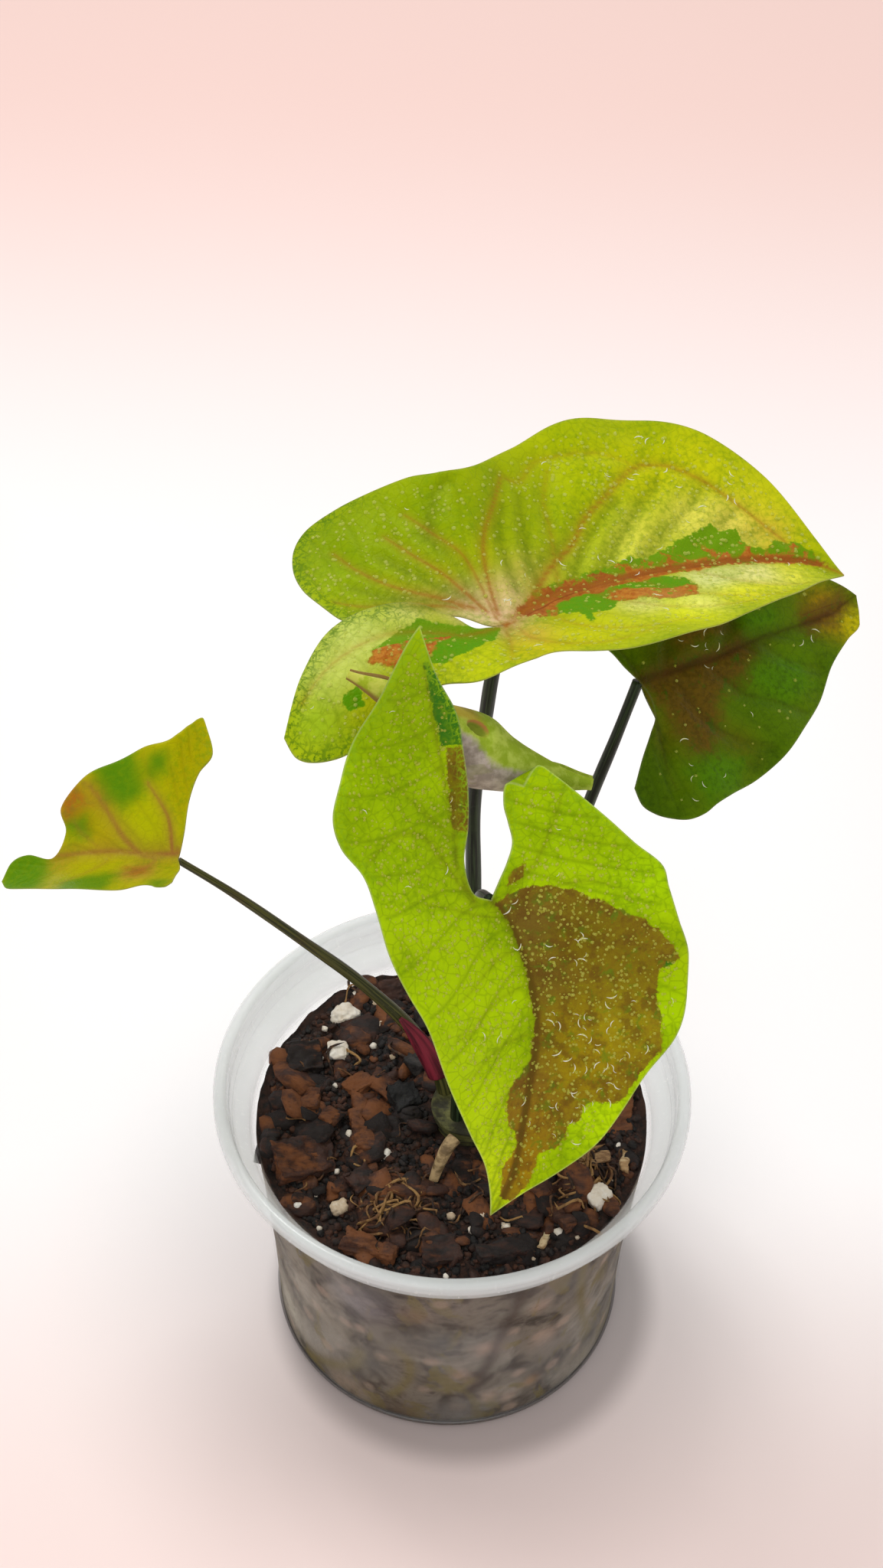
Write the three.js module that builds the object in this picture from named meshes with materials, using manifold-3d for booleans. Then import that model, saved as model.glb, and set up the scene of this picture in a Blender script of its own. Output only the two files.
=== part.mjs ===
// A young syngonium in a clear nursery cup: four open leaves, a rolled new leaf and a chunky mix.
// Millimetres, +Z up. The origin is the middle of the cup's foot.
import * as THREE from "three";
import { ConvexGeometry } from "three/addons/geometries/ConvexGeometry.js";
import { mergeVertices } from "three/addons/utils/BufferGeometryUtils.js";
import Module from "manifold-3d";

const wasm = await Module();
wasm.setup();

// Driving dimensions of the cup
const CUP_HEIGHT = 67.3;
const RIM_RADIUS = 45;
const NECK_RADIUS = 37.9;
const FOOT_RADIUS = 35;
const WALL = 0.9;
const FLOOR = 1.1;
const WALL_STATIONS = [[FOOT_RADIUS + 0.7, 22], [FOOT_RADIUS + 2.1, 44], [NECK_RADIUS, 54]];
const CUP_SIDES = 48;
const DRAIN_RADIUS = 2;
const DRAIN_RING = 18;
const DRAIN_COUNT = 4;

// Driving dimensions of the mix and of what lies on it
const MIX_LEVEL = 56;
const MIX_RELIEF = 1.1;
const MIX_GAP = 0.35;
const CLEARANCE = 0.3;

// Driving dimensions of the blades
const BLADE_THICKNESS = 0.75;
const BLADE_ROW_STEPS = 2;
const BLADE_COLUMNS = 5;
const BLADE_BORDER_POWER = 0.85;

// A repeatable random number between 0 and 1 for each seed
function seeded(seed) {
  let state = seed >>> 0;
  return () => {
    state = (state + 0x6d2b79f5) >>> 0;
    let mixed = Math.imul(state ^ (state >>> 15), 1 | state);
    mixed = (mixed + Math.imul(mixed ^ (mixed >>> 7), 61 | mixed)) ^ mixed;
    return ((mixed ^ (mixed >>> 14)) >>> 0) / 4294967296;
  };
}

function material(colour, roughness, metalness = 0) {
  return new THREE.MeshStandardMaterial({ color: colour, roughness, metalness });
}

function smoothstep(from, to, value) {
  const part = THREE.MathUtils.clamp((value - from) / (to - from), 0, 1);
  return part * part * (3 - 2 * part);
}

// Turns a closed three.js geometry into a solid for cutting and joining
function solidOf(geometry) {
  const bare = geometry.clone();
  bare.deleteAttribute("normal");
  bare.deleteAttribute("uv");
  const merged = mergeVertices(bare, 1e-4);
  const mesh = new wasm.Mesh({
    numProp: 3,
    vertProperties: new Float32Array(merged.attributes.position.array),
    triVerts: new Uint32Array(merged.index.array),
  });
  return new wasm.Manifold(mesh);
}

// Turns a cut or joined solid back into a geometry
function geometryOf(solid) {
  const mesh = solid.getMesh();
  const geometry = new THREE.BufferGeometry();
  geometry.setAttribute("position", new THREE.BufferAttribute(new Float32Array(mesh.vertProperties), 3));
  geometry.setIndex(new THREE.BufferAttribute(new Uint32Array(mesh.triVerts), 1));
  return geometry;
}

function geometryFrom(positions, triangles) {
  const geometry = new THREE.BufferGeometry();
  geometry.setAttribute("position", new THREE.Float32BufferAttribute(positions, 3));
  geometry.setIndex(triangles);
  return geometry;
}

// A closed stem along a smooth curve, its radius running evenly from the foot to the end
function stemGeometry(points, footRadius, endRadius, steps, sides) {
  const curve = new THREE.CatmullRomCurve3(points.map((point) => new THREE.Vector3(...point)));
  const frames = curve.computeFrenetFrames(steps, false);
  const positions = [];
  const triangles = [];
  for (let step = 0; step <= steps; step += 1) {
    const along = step / steps;
    const centre = curve.getPointAt(along);
    const radius = THREE.MathUtils.lerp(footRadius, endRadius, along);
    for (let side = 0; side < sides; side += 1) {
      const angle = (2 * Math.PI * side) / sides;
      const point = centre.clone();
      point.addScaledVector(frames.normals[step], radius * Math.cos(angle));
      point.addScaledVector(frames.binormals[step], radius * Math.sin(angle));
      positions.push(point.x, point.y, point.z);
    }
  }
  for (let step = 0; step < steps; step += 1) {
    for (let side = 0; side < sides; side += 1) {
      const a = step * sides + side;
      const b = step * sides + ((side + 1) % sides);
      triangles.push(a, b, b + sides, a, b + sides, a + sides);
    }
  }
  const last = steps * sides;
  for (let side = 1; side < sides - 1; side += 1) {
    triangles.push(0, side + 1, side);
    triangles.push(last, last + side, last + side + 1);
  }
  return geometryFrom(positions, triangles);
}

// The cup: foot, thin tapered wall, flared neck and rolled lip, as one lathe profile
function cupProfile() {
  const outside = [
    [0, 0],
    [FOOT_RADIUS - 0.6, 0],
    [FOOT_RADIUS, 0.9],
    ...WALL_STATIONS,
    [NECK_RADIUS + 1.3, 57.6],
    [RIM_RADIUS - 3.2, 59.6],
    [RIM_RADIUS - 2.1, 60.4],
    [RIM_RADIUS - 1.8, 63.6],
    [RIM_RADIUS - 0.4, 64.2],
    [RIM_RADIUS, 65.2],
    [RIM_RADIUS - 0.1, 66.3],
    [RIM_RADIUS - 0.8, CUP_HEIGHT - 0.2],
    [RIM_RADIUS - 1.6, CUP_HEIGHT],
  ];
  const inside = [
    [RIM_RADIUS - 2.3, CUP_HEIGHT - 0.4],
    [RIM_RADIUS - 2.6, CUP_HEIGHT - 1.3],
    [RIM_RADIUS - 2.7, 63.6],
    [RIM_RADIUS - 3.0, 61.1],
    [RIM_RADIUS - 3.8, 60.4],
    [NECK_RADIUS + 0.6, 58.4],
    ...WALL_STATIONS.map(([radius, height]) => [radius - WALL, height]).reverse(),
    [FOOT_RADIUS - WALL, FLOOR + 0.7],
    [FOOT_RADIUS - WALL - 0.7, FLOOR],
    [0, FLOOR],
  ];
  return [...outside, ...inside];
}

function latheAboutZ(profile, sides) {
  const points = profile.map(([radius, height]) => new THREE.Vector2(radius, height));
  const geometry = new THREE.LatheGeometry(points, sides);
  return geometry.rotateX(Math.PI / 2);
}

function cup() {
  let solid = solidOf(latheAboutZ(cupProfile(), CUP_SIDES));
  for (let hole = 0; hole < DRAIN_COUNT; hole += 1) {
    const angle = (2 * Math.PI * (hole + 0.5)) / DRAIN_COUNT;
    const drain = new THREE.CylinderGeometry(DRAIN_RADIUS, DRAIN_RADIUS, 6, 16);
    drain.rotateX(Math.PI / 2);
    drain.translate(DRAIN_RING * Math.cos(angle), DRAIN_RING * Math.sin(angle), 0);
    solid = solid.subtract(solidOf(drain));
  }
  return geometryOf(solid);
}

// The level of the mix at a place, a gentle relief
function mixLevel(x, y) {
  const swell = Math.sin(0.21 * x + 0.9) * Math.cos(0.19 * y - 0.4);
  const lumps = Math.sin(0.55 * x + 0.3 * y) * Math.sin(0.47 * y - 0.2 * x + 1.1);
  return MIX_LEVEL + MIX_RELIEF * (0.6 * swell + 0.4 * lumps);
}

// The mix fills the cup and keeps its distance from the wall
function mixCore() {
  const rings = 8;
  const sectors = 36;
  const bottom = FLOOR + CLEARANCE;
  const corner = 0.8;
  const wallRings = [
    [FOOT_RADIUS - WALL - MIX_GAP - corner, bottom],
    [FOOT_RADIUS - WALL - MIX_GAP, bottom + corner],
    ...WALL_STATIONS.map(([radius, height]) => [radius - WALL - MIX_GAP, height]),
  ];
  const positions = [0, 0, bottom];
  const triangles = [];
  const addRing = (radius, heightAt) => {
    for (let sector = 0; sector < sectors; sector += 1) {
      const angle = (2 * Math.PI * sector) / sectors;
      const x = radius * Math.cos(angle);
      const y = radius * Math.sin(angle);
      positions.push(x, y, heightAt(x, y));
    }
  };
  wallRings.forEach(([radius, height]) => addRing(radius, () => height));
  for (let ring = rings; ring >= 1; ring -= 1) {
    addRing(((NECK_RADIUS - WALL - 2 * MIX_GAP) * ring) / rings, mixLevel);
  }
  const ringCount = wallRings.length + rings;
  const top = positions.length / 3;
  positions.push(0, 0, mixLevel(0, 0));
  for (let sector = 0; sector < sectors; sector += 1) {
    const next = (sector + 1) % sectors;
    triangles.push(0, 1 + next, 1 + sector);
    for (let ring = 0; ring < ringCount - 1; ring += 1) {
      const a = 1 + ring * sectors + sector;
      const b = 1 + ring * sectors + next;
      triangles.push(a, b, b + sectors, a, b + sectors, a + sectors);
    }
    const inner = 1 + (ringCount - 1) * sectors;
    triangles.push(inner + sector, inner + next, top);
  }
  return solidOf(geometryFrom(positions, triangles));
}

// A loose chip: a block with knocked-off corners, turned and tilted where it lies
function chipGeometry(chip, extra = 0) {
  const random = seeded(chip.seed);
  const [length, width, height] = chip.size.map((side) => side / 2);
  const points = [];
  for (const signX of [-1, 1]) {
    for (const signY of [-1, 1]) {
      for (const signZ of [-1, 1]) {
        const knock = () => 1 - chip.knock * random();
        const corner = [signX * length * knock(), signY * width * knock(), signZ * height * knock()];
        points.push(new THREE.Vector3(...corner));
      }
    }
  }
  if (chip.round) {
    points.push(new THREE.Vector3(length, 0, 0), new THREE.Vector3(-length, 0, 0));
    points.push(new THREE.Vector3(0, width, 0), new THREE.Vector3(0, -width, 0));
    points.push(new THREE.Vector3(0, 0, height), new THREE.Vector3(0, 0, -height));
  }
  const grown = points.map((point) => point.multiplyScalar(1 + extra / Math.min(length, width, height)));
  const geometry = new ConvexGeometry(grown);
  const turn = new THREE.Euler(chip.tilt[0], chip.tilt[1], chip.turn, "ZYX");
  geometry.applyMatrix4(new THREE.Matrix4().makeRotationFromEuler(turn));
  const lift = chip.lift ?? 0;
  geometry.translate(chip.at[0], chip.at[1], mixLevel(chip.at[0], chip.at[1]) + lift);
  return geometry;
}

// Chips that lie on the mix. Sizes are length, width and thickness before they are turned.
const BARK_CHIPS = {
  bark_chip_round: { seed: 3, at: [-28.6, 12.8], size: [8.4, 7.6, 5], turn: 0.3, tilt: [0.2, 0.1] },
  bark_chip_flat: { seed: 5, at: [-28.5, 2.6], size: [8, 6.5, 4], turn: -0.2, tilt: [0.1, -0.2] },
  bark_chip_large: { seed: 8, at: [-27.4, -10.6], size: [13.5, 10, 5], turn: 0.35, tilt: [0.15, 0.2] },
  bark_chip_inner: { seed: 11, at: [-18.2, 6.6], size: [6.5, 5.5, 4], turn: 0.8, tilt: [-0.2, 0.1] },
  bark_stick: { seed: 14, at: [-17.6, -4.2], size: [13, 3.4, 3.2], turn: 1.75, tilt: [0.1, 0.15] },
  bark_chip_back_left: { seed: 17, at: [-12.2, 30.4], size: [8, 6, 5], turn: 0.4, tilt: [0.4, 0.2] },
  bark_chip_back: { seed: 19, at: [0.5, 30.5], size: [9, 7, 5], turn: -0.4, tilt: [0.2, -0.2] },
  bark_chip_back_right: { seed: 21, at: [14.5, 27.5], size: [10, 7, 4.5], turn: 0.2, tilt: [0.2, 0.1] },
  bark_chip_front_left: { seed: 23, at: [-14.6, -29.8], size: [11, 5, 4], turn: -0.35, tilt: [-0.3, 0.1] },
  bark_chip_front: { seed: 26, at: [-1.6, -30.6], size: [8, 7, 4.4], turn: 0.2, tilt: [0.1, -0.15] },
  bark_chip_front_right: { seed: 29, at: [9.6, -30.4], size: [10.5, 5, 4], turn: 0.25, tilt: [-0.25, 0.1] },
  bark_sliver_red: { seed: 31, at: [19.8, -22.2], size: [9, 3.4, 3.4], turn: 2.2, tilt: [0.15, 0.2] },
  bark_chip_right: { seed: 34, at: [31.4, 2.6], size: [14, 7.5, 5], turn: 1.45, tilt: [0.1, -0.3] },
  bark_chip_right_back: { seed: 37, at: [26.0, 17.0], size: [10, 8, 5], turn: 0.9, tilt: [0.2, 0.1] },
  bark_chip_mid_right: { seed: 39, at: [17.0, 5.0], size: [9, 7, 4.5], turn: 0.5, tilt: [0.1, 0.2] },
  bark_chip_mid_front: { seed: 41, at: [9.0, -13.0], size: [9, 6.5, 4], turn: -0.5, tilt: [-0.1, 0.1] },
  bark_chip_mid_back: { seed: 43, at: [4.0, 17.5], size: [9, 7, 4.4], turn: 0.1, tilt: [0.1, 0.1] },
  bark_chip_low_left: { seed: 81, at: [-16.8, -15.4], size: [6.4, 5, 3.6], turn: 0.7, tilt: [0.2, 0] },
  bark_chip_inner_right: { seed: 83, at: [17.6, -11.4], size: [8, 6, 4], turn: 0.4, tilt: [0, 0.2] },
  bark_chip_inner_back: { seed: 85, at: [13.2, 15.4], size: [7.4, 6, 4], turn: 1.2, tilt: [0.2, 0.1] },
  bark_chip_far_back: { seed: 87, at: [-4.8, 22.6], size: [7, 5.4, 3.8], turn: 0.2, tilt: [0.1, 0.2] },
  bark_chip_small_left: { seed: 89, at: [-23.4, -1.6], size: [4.4, 3.8, 3.4], turn: 0.9, tilt: [0, 0] },
};
const CHARCOAL_CHIPS = {
  charcoal_lump: { seed: 47, at: [-9.6, 4.2], size: [7.4, 7.2, 5.5], turn: 0.5, tilt: [0.2, 0.2] },
  charcoal_chip: { seed: 49, at: [-6.6, 13.0], size: [7, 5.5, 4], turn: 1.1, tilt: [0, 0.2] },
};
const PERLITE_GRAINS = {
  perlite_large: { seed: 53, at: [-21.4, 24.6], size: [6.8, 5.6, 5.2], turn: 0.4, tilt: [0, 0] },
  perlite_left: { seed: 55, at: [-22.4, 14.6], size: [5.6, 5.2, 4.8], turn: 0, tilt: [0, 0] },
  perlite_mid: { seed: 57, at: [-12.2, -9.6], size: [3.4, 3.0, 2.8], turn: 0, tilt: [0, 0] },
  perlite_front_left: { seed: 59, at: [-20.4, -21.4], size: [4.2, 3.4, 3.2], turn: 0.5, tilt: [0, 0] },
  perlite_edge: { seed: 61, at: [-28.0, -20.6], size: [3.2, 3.0, 2.8], turn: 0, tilt: [0, 0] },
  perlite_back: { seed: 63, at: [-13.6, 21.4], size: [3.0, 2.8, 2.6], turn: 0, tilt: [0, 0] },
  perlite_front: { seed: 65, at: [5.6, -22.6], size: [3.0, 2.8, 2.6], turn: 0, tilt: [0, 0] },
  perlite_right: { seed: 67, at: [27.6, -17.8], size: [6.2, 5.4, 4.6], turn: 0.6, tilt: [0, 0] },
  perlite_back_right: { seed: 69, at: [20.0, -2.2], size: [4.4, 4.0, 3.6], turn: 0, tilt: [0, 0] },
};
const WOOD_CHIPS = {
  wood_chip_pale: { seed: 71, at: [26.6, -9.8], size: [8, 3.6, 3.4], turn: 0.25, tilt: [0.1, 0.1] },
  wood_sliver: { seed: 73, at: [17.6, -26.6], size: [6.4, 1.7, 1.6], turn: 1.2, tilt: [0, 0.2] },
  husk_curl: { seed: 75, at: [32.8, -9.6], size: [6.4, 2.4, 2.4], turn: 1.5, tilt: [0, 0.1] },
};

function chipsOf(places, kind) {
  return Object.entries(places).map(([name, place]) => ({ name, ...kind, ...place }));
}

const CHIPS = [
  ...chipsOf(BARK_CHIPS, { finish: "bark", knock: 0.3 }),
  ...chipsOf(CHARCOAL_CHIPS, { finish: "charcoal", knock: 0.35 }),
  ...chipsOf(PERLITE_GRAINS, { finish: "perlite", knock: 0.45, round: true }),
  ...chipsOf(WOOD_CHIPS, { finish: "wood", knock: 0.3 }),
];

// Small crumbs that are one body with the mix
const CRUMB_COUNT = 26;
const CRUMB_FIELD = 32;

function crumbs() {
  const random = seeded(101);
  return Array.from({ length: CRUMB_COUNT }, (_, crumb) => {
    const radius = CRUMB_FIELD * Math.sqrt(random());
    const angle = 2 * Math.PI * random();
    return solidOf(chipGeometry({
      seed: 200 + crumb,
      knock: 0.4,
      at: [radius * Math.cos(angle), radius * Math.sin(angle)],
      size: [3 + 3.5 * random(), 2.2 + 2 * random(), 2.4 + 1.2 * random()],
      turn: Math.PI * random(),
      tilt: [0.5 * random(), 0.4 * random()],
    }));
  });
}

// Fibres of husk that arch out of the mix and back into it, also one body with it
const FIBRE_COUNT = 9;
const FIBRE_RADIUS = 0.42;
const FIBRE_PLACES = [[-9.6, -21.4], [24.5, -13.5]];

function fibres() {
  const random = seeded(77);
  return Array.from({ length: FIBRE_COUNT }, (_, fibre) => {
    const [x, y] = FIBRE_PLACES[fibre % FIBRE_PLACES.length];
    const angle = Math.PI * random();
    const reach = 2.4 + 1.8 * random();
    const centre = [x + 5 * (random() - 0.5), y + 4 * (random() - 0.5)];
    const place = (part, height) => {
      const px = centre[0] + part * reach * Math.cos(angle);
      const py = centre[1] + part * reach * Math.sin(angle);
      return [px, py, mixLevel(px, py) + height];
    };
    const crest = place(0.1, 1.2 + random());
    const points = [place(-1, -0.9), place(-0.6, 0.7), crest, place(0.7, 0.6), place(1, -0.9)];
    return solidOf(stemGeometry(points, FIBRE_RADIUS, FIBRE_RADIUS, 6, 5));
  });
}

// Each open leaf: where its petiole meets the blade, the midrib's way out of there, the upper side's
// normal, and how the blade folds, droops and waves. Each list of two holds the side left of the
// midrib, looking from the petiole to the tip with the upper side up, and then the right side.
const MIDRIB_STATIONS = [1, 0.93, 0.82, 0.7, 0.58, 0.46, 0.34, 0.23, 0.13, 0.05, 0];

const TOP_LEAF = {
  origin: [6.4, 10.9, 172.3],
  along: [0.925, 0.36, -0.075],
  up: [0, 0.02, 1],
  length: 62.8,
  tipShift: 1.7,
  midribBow: 7.6,
  foldWidth: 5,
  fold: [0.38, 0.4],
  lobeFold: [0.05, -0.62],
  lobeReach: 24,
  lobeLift: [-1.5, 2.4],
  droop: 0.001,
  lobeDroop: [0.004, 0.005],
  wave: 0.4,
  waveLength: 23,
  wavePhase: [0.6, 2],
  margin: [
    [[61.4, 9.8], [57.7, 22.4], [51, 30.8], [42, 36.8], [32, 38], [22, 37.2], [13, 33.7], [5, 29.7],
      [-1, 29.2], [-6, 31.2]],
    [[57, -0.2], [49.5, -5.3], [41.5, -10.1], [34, -13.4], [26.5, -17.1], [20, -18.8], [14, -17.8],
      [8.2, -15], [3, -12], [-2.5, -12.6]],
  ],
  lobe: [
    [[-11.5, 32.8], [-17, 33.7], [-22, 33.3], [-25.2, 30.4], [-26.7, 26], [-26.6, 21], [-25, 16]],
    [[-8.5, -12.4], [-14, -9.6], [-20, -9.8], [-25.5, -12.2], [-30.5, -13.4], [-35, -12.7], [-37.9, -10.9],
      [-38.9, -7.6]],
  ],
  sinus: [
    [[-2.5, 0.8], [-6.5, 4.2], [-11.5, 5.5], [-16.5, 7], [-20.5, 9], [-23.3, 12]],
    [[-2.8, 0.2], [-5.2, 0.7], [-7.6, 4.2], [-12.5, 8.6], [-19.5, 9.4], [-27, 7.4], [-33.3, 1]],
  ],
};

const FRONT_LEAF = {
  origin: [4.9, -24.5, 146.7],
  along: [0.075, -0.643, -0.766],
  up: [0.294, -0.718, 0.631],
  length: 52.6,
  tipShift: -0.3,
  midribBow: 6.6,
  foldWidth: 4,
  fold: [0.3, 0.4],
  lobeFold: [0.1, 0.1],
  lobeReach: 25,
  lobeLift: [0, 0],
  droop: 0.003,
  lobeDroop: [-0.006, -0.0075],
  wave: 0.7,
  waveLength: 19,
  wavePhase: [0, 1.5],
  margin: [
    [[49.3, 4.9], [46.2, 10.2], [41.8, 16], [36, 20.5], [30, 24.2], [24.1, 28], [17.5, 30.1], [11, 30.3],
      [4.8, 28.1], [0, 27.1]],
    [[48.5, -0.6], [43, -2], [37, -5.1], [30, -8.3], [23.5, -10.9], [17.5, -13.2], [12, -16], [5, -19],
      [-1.5, -20.6], [-6.5, -21.9]],
  ],
  lobe: [
    [[-3.8, 26.6], [-7.5, 22.6], [-11.5, 18.6], [-15.5, 14.4], [-18.9, 10.6], [-20.7, 7.7], [-17.6, 5.5]],
    [[-11, -25], [-16, -26.2], [-21.5, -24.5], [-27, -22.3], [-32.5, -19.2], [-37.5, -17.1], [-41.2, -15.3],
      [-43.8, -13.6]],
  ],
  sinus: [
    [[-3, 1.5], [-5.7, 2.8], [-8.8, 3.7], [-12, 3.1], [-15, 2.4], [-18.2, 2.8]],
    [[-1.5, -3], [-6.5, -4.3], [-12, -3.5], [-18, -3.6], [-24, -4.6], [-30, -6.1], [-36.5, -10.2]],
  ],
};

const RIGHT_LEAF = {
  origin: [29.6, 20.4, 151.9],
  along: [0.86, 0.49, -0.12],
  up: [0.1, -0.62, 0.8],
  length: 50,
  tipShift: 4.6,
  midribBow: 0.6,
  foldWidth: 4,
  fold: [-0.22, 0.15],
  lobeFold: [-0.2, -0.1],
  lobeReach: 20,
  lobeLift: [0, 0],
  droop: 0.0012,
  lobeDroop: [0.003, 0.003],
  wave: 0.7,
  waveLength: 21,
  wavePhase: [0, 0.5],
  margin: [
    [[47.6, 7], [43.5, 10], [37, 14.2], [31, 17.8], [24.5, 20.6], [18, 22.8], [12, 24], [6, 24.6], [1, 25.3],
      [-3, 26]],
    [[48.2, -0.6], [44, -2.8], [38.5, -6.5], [33, -12], [26.5, -16], [20.5, -19.5], [14.5, -21.8], [8.5, -22.8],
      [4.5, -23.6], [1.5, -24.6]],
  ],
  lobe: [
    [[-7.5, 25.6], [-11.5, 23.5], [-14, 20.5], [-15, 17], [-14, 13.5]],
    [[-1.3, -24.7], [-3.9, -23.5], [-5.8, -22], [-7.2, -20], [-7.5, -17]],
  ],
  sinus: [
    [[-1.6, 2.8], [-3.2, 6.5], [-6.5, 9.8], [-10.5, 12]],
    [[1, -3], [0.5, -6.5], [-1.5, -9], [-4.5, -12.6]],
  ],
};

const LEFT_LEAF = {
  origin: [-49.1, 9.9, 116.7],
  along: [-0.985, -0.1, -0.13],
  up: [0.05, -0.18, 1],
  length: 32,
  tipShift: -1.9,
  midribBow: -2.2,
  foldWidth: 2,
  fold: [0.95, 0.42],
  lobeFold: [0.6, 0.3],
  lobeReach: 14,
  lobeLift: [0, 0],
  droop: 0.002,
  lobeDroop: [0, 0],
  wave: 0.6,
  waveLength: 13,
  wavePhase: [0, 1],
  margin: [
    [[30.8, 0.4], [27.6, 2.6], [23.5, 4.9], [19, 7.4], [15, 9.3], [11, 10.5], [8, 10.9], [5.2, 9.8], [3.6, 10],
      [2.6, 10.8]],
    [[30, -5], [26.8, -5.8], [22.5, -4.5], [19.7, -8.5], [20.1, -12.8], [15.5, -16.8], [9.5, -18.6],
      [4.5, -19.8], [0, -19.8], [-2.5, -21.3]],
  ],
  lobe: [
    [[1.6, 10.8], [0.9, 10.3], [0.2, 8.5]],
    [[-4, -22.6], [-5, -23.3], [-6, -24], [-7, -24.1], [-7.4, -22.6]],
  ],
  sinus: [
    [[-0.4, 2.8], [0, 5.5]],
    [[-1.5, -4.5], [-3, -9.8], [-5.2, -14.4], [-8, -17.6]],
  ],
};

// How far the midrib runs beside the straight line from the petiole
function midribShift(leaf, u) {
  const part = THREE.MathUtils.clamp(u / leaf.length, 0, 1);
  return leaf.midribBow * 4 * part * (1 - part) + leaf.tipShift * part;
}

// Height of the blade over its own plane. Side 0 lies at v above the midrib, side 1 below it.
function bladeHeight(leaf, side, u, v) {
  const sign = side === 0 ? 1 : -1;
  const outward = Math.max(sign * (v - midribShift(leaf, u)), 0);
  const lobe = smoothstep(0, -leaf.lobeReach, u);
  const slope = THREE.MathUtils.lerp(leaf.fold[side], leaf.lobeFold[side], lobe);
  const rise = slope * (Math.hypot(outward, leaf.foldWidth) - leaf.foldWidth);
  const ahead = Math.max(u, 0);
  const behind = Math.max(-u, 0);
  const reach = Math.min(outward / 20, 1.3);
  const phase = (2 * Math.PI * u) / leaf.waveLength + leaf.wavePhase[side];
  const wave = leaf.wave * reach * reach * Math.sin(phase);
  const droop = leaf.droop * ahead * ahead + leaf.lobeDroop[side] * behind * behind;
  return rise - droop + leaf.lobeLift[side] * lobe + wave;
}

// The leaf's own axes in the room
function leafFrame(leaf) {
  const along = new THREE.Vector3(...leaf.along).normalize();
  const up = new THREE.Vector3(...leaf.up);
  up.addScaledVector(along, -up.dot(along)).normalize();
  const across = new THREE.Vector3().crossVectors(up, along);
  return { origin: new THREE.Vector3(...leaf.origin), along, across, up };
}

// A smooth plane curve through the stations, with the same number of steps between each two
function throughStations(stations, steps) {
  const at = (index) => stations[THREE.MathUtils.clamp(index, 0, stations.length - 1)];
  const points = [stations[0]];
  for (let index = 0; index < stations.length - 1; index += 1) {
    for (let step = 1; step <= steps; step += 1) {
      const t = step / steps;
      const point = [0, 1].map((axis) => {
        const [a, b, c, d] = [at(index - 1), at(index), at(index + 1), at(index + 2)].map((p) => p[axis]);
        const slopeIn = (c - a) / 2;
        const slopeOut = (d - b) / 2;
        const t2 = t * t;
        const t3 = t2 * t;
        const ends = (2 * t3 - 3 * t2 + 1) * b + (3 * t2 - 2 * t3) * c;
        return ends + (t3 - 2 * t2 + t) * slopeIn + (t3 - t2) * slopeOut;
      });
      points.push(point);
    }
  }
  return points;
}

// One side of the blade as rows of plane points, from the tip back to the end of its lobe
function sideRows(leaf, side) {
  const tip = [leaf.length, leaf.tipShift];
  const margin = throughStations([tip, ...leaf.margin[side], ...leaf.lobe[side]], BLADE_ROW_STEPS);
  const midrib = [];
  for (let index = 0; index < MIDRIB_STATIONS.length - 1; index += 1) {
    for (let step = 0; step < BLADE_ROW_STEPS; step += 1) {
      const [from, to] = [MIDRIB_STATIONS[index], MIDRIB_STATIONS[index + 1]];
      const u = leaf.length * THREE.MathUtils.lerp(from, to, step / BLADE_ROW_STEPS);
      midrib.push([u, midribShift(leaf, u)]);
    }
  }
  const sinus = throughStations([[0, 0], ...leaf.sinus[side], leaf.lobe[side].at(-1)], BLADE_ROW_STEPS);
  const inner = [...midrib, ...sinus];
  return margin.map((edge, row) => {
    const points = [];
    for (let column = 0; column <= BLADE_COLUMNS; column += 1) {
      const part = (column / BLADE_COLUMNS) ** BLADE_BORDER_POWER;
      const u = THREE.MathUtils.lerp(inner[row][0], edge[0], part);
      const v = THREE.MathUtils.lerp(inner[row][1], edge[1], part);
      points.push([u, v, bladeHeight(leaf, side, u, v)]);
    }
    return points;
  });
}

// A blade: two sides that share the midrib, the same triangles above and below, and a closed edge
function bladeGeometry(leaf) {
  const frame = leafFrame(leaf);
  const positions = [];
  const triangles = [];
  const midribRows = (MIDRIB_STATIONS.length - 1) * BLADE_ROW_STEPS;
  const addPoint = ([u, v, height], drop) => {
    const point = frame.origin.clone();
    point.addScaledVector(frame.along, u);
    point.addScaledVector(frame.across, v);
    point.addScaledVector(frame.up, height - drop);
    positions.push(point.x, point.y, point.z);
    return positions.length / 3 - 1;
  };
  for (const side of [0, 1]) {
    const rows = sideRows(leaf, side);
    const upper = rows.map((row) => row.map((point) => addPoint(point, 0)));
    const lower = rows.map((row) => row.map((point) => addPoint(point, BLADE_THICKNESS)));
    const face = (a, b, c) => triangles.push(...(side === 0 ? [a, b, c] : [a, c, b]));
    for (let row = 0; row < rows.length - 1; row += 1) {
      for (let column = 0; column < BLADE_COLUMNS; column += 1) {
        const [a, b] = [upper[row][column], upper[row][column + 1]];
        const [c, d] = [upper[row + 1][column + 1], upper[row + 1][column]];
        face(a, b, c);
        face(a, c, d);
        const [e, f] = [lower[row][column], lower[row][column + 1]];
        const [g, h] = [lower[row + 1][column + 1], lower[row + 1][column]];
        face(e, g, f);
        face(e, h, g);
      }
      const edge = BLADE_COLUMNS;
      face(upper[row][edge], lower[row][edge], lower[row + 1][edge]);
      face(upper[row][edge], lower[row + 1][edge], upper[row + 1][edge]);
      if (row >= midribRows) {
        face(upper[row][0], lower[row + 1][0], lower[row][0]);
        face(upper[row][0], upper[row + 1][0], lower[row + 1][0]);
      }
    }
  }
  return geometryOf(solidOf(geometryFrom(positions, triangles)));
}

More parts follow.
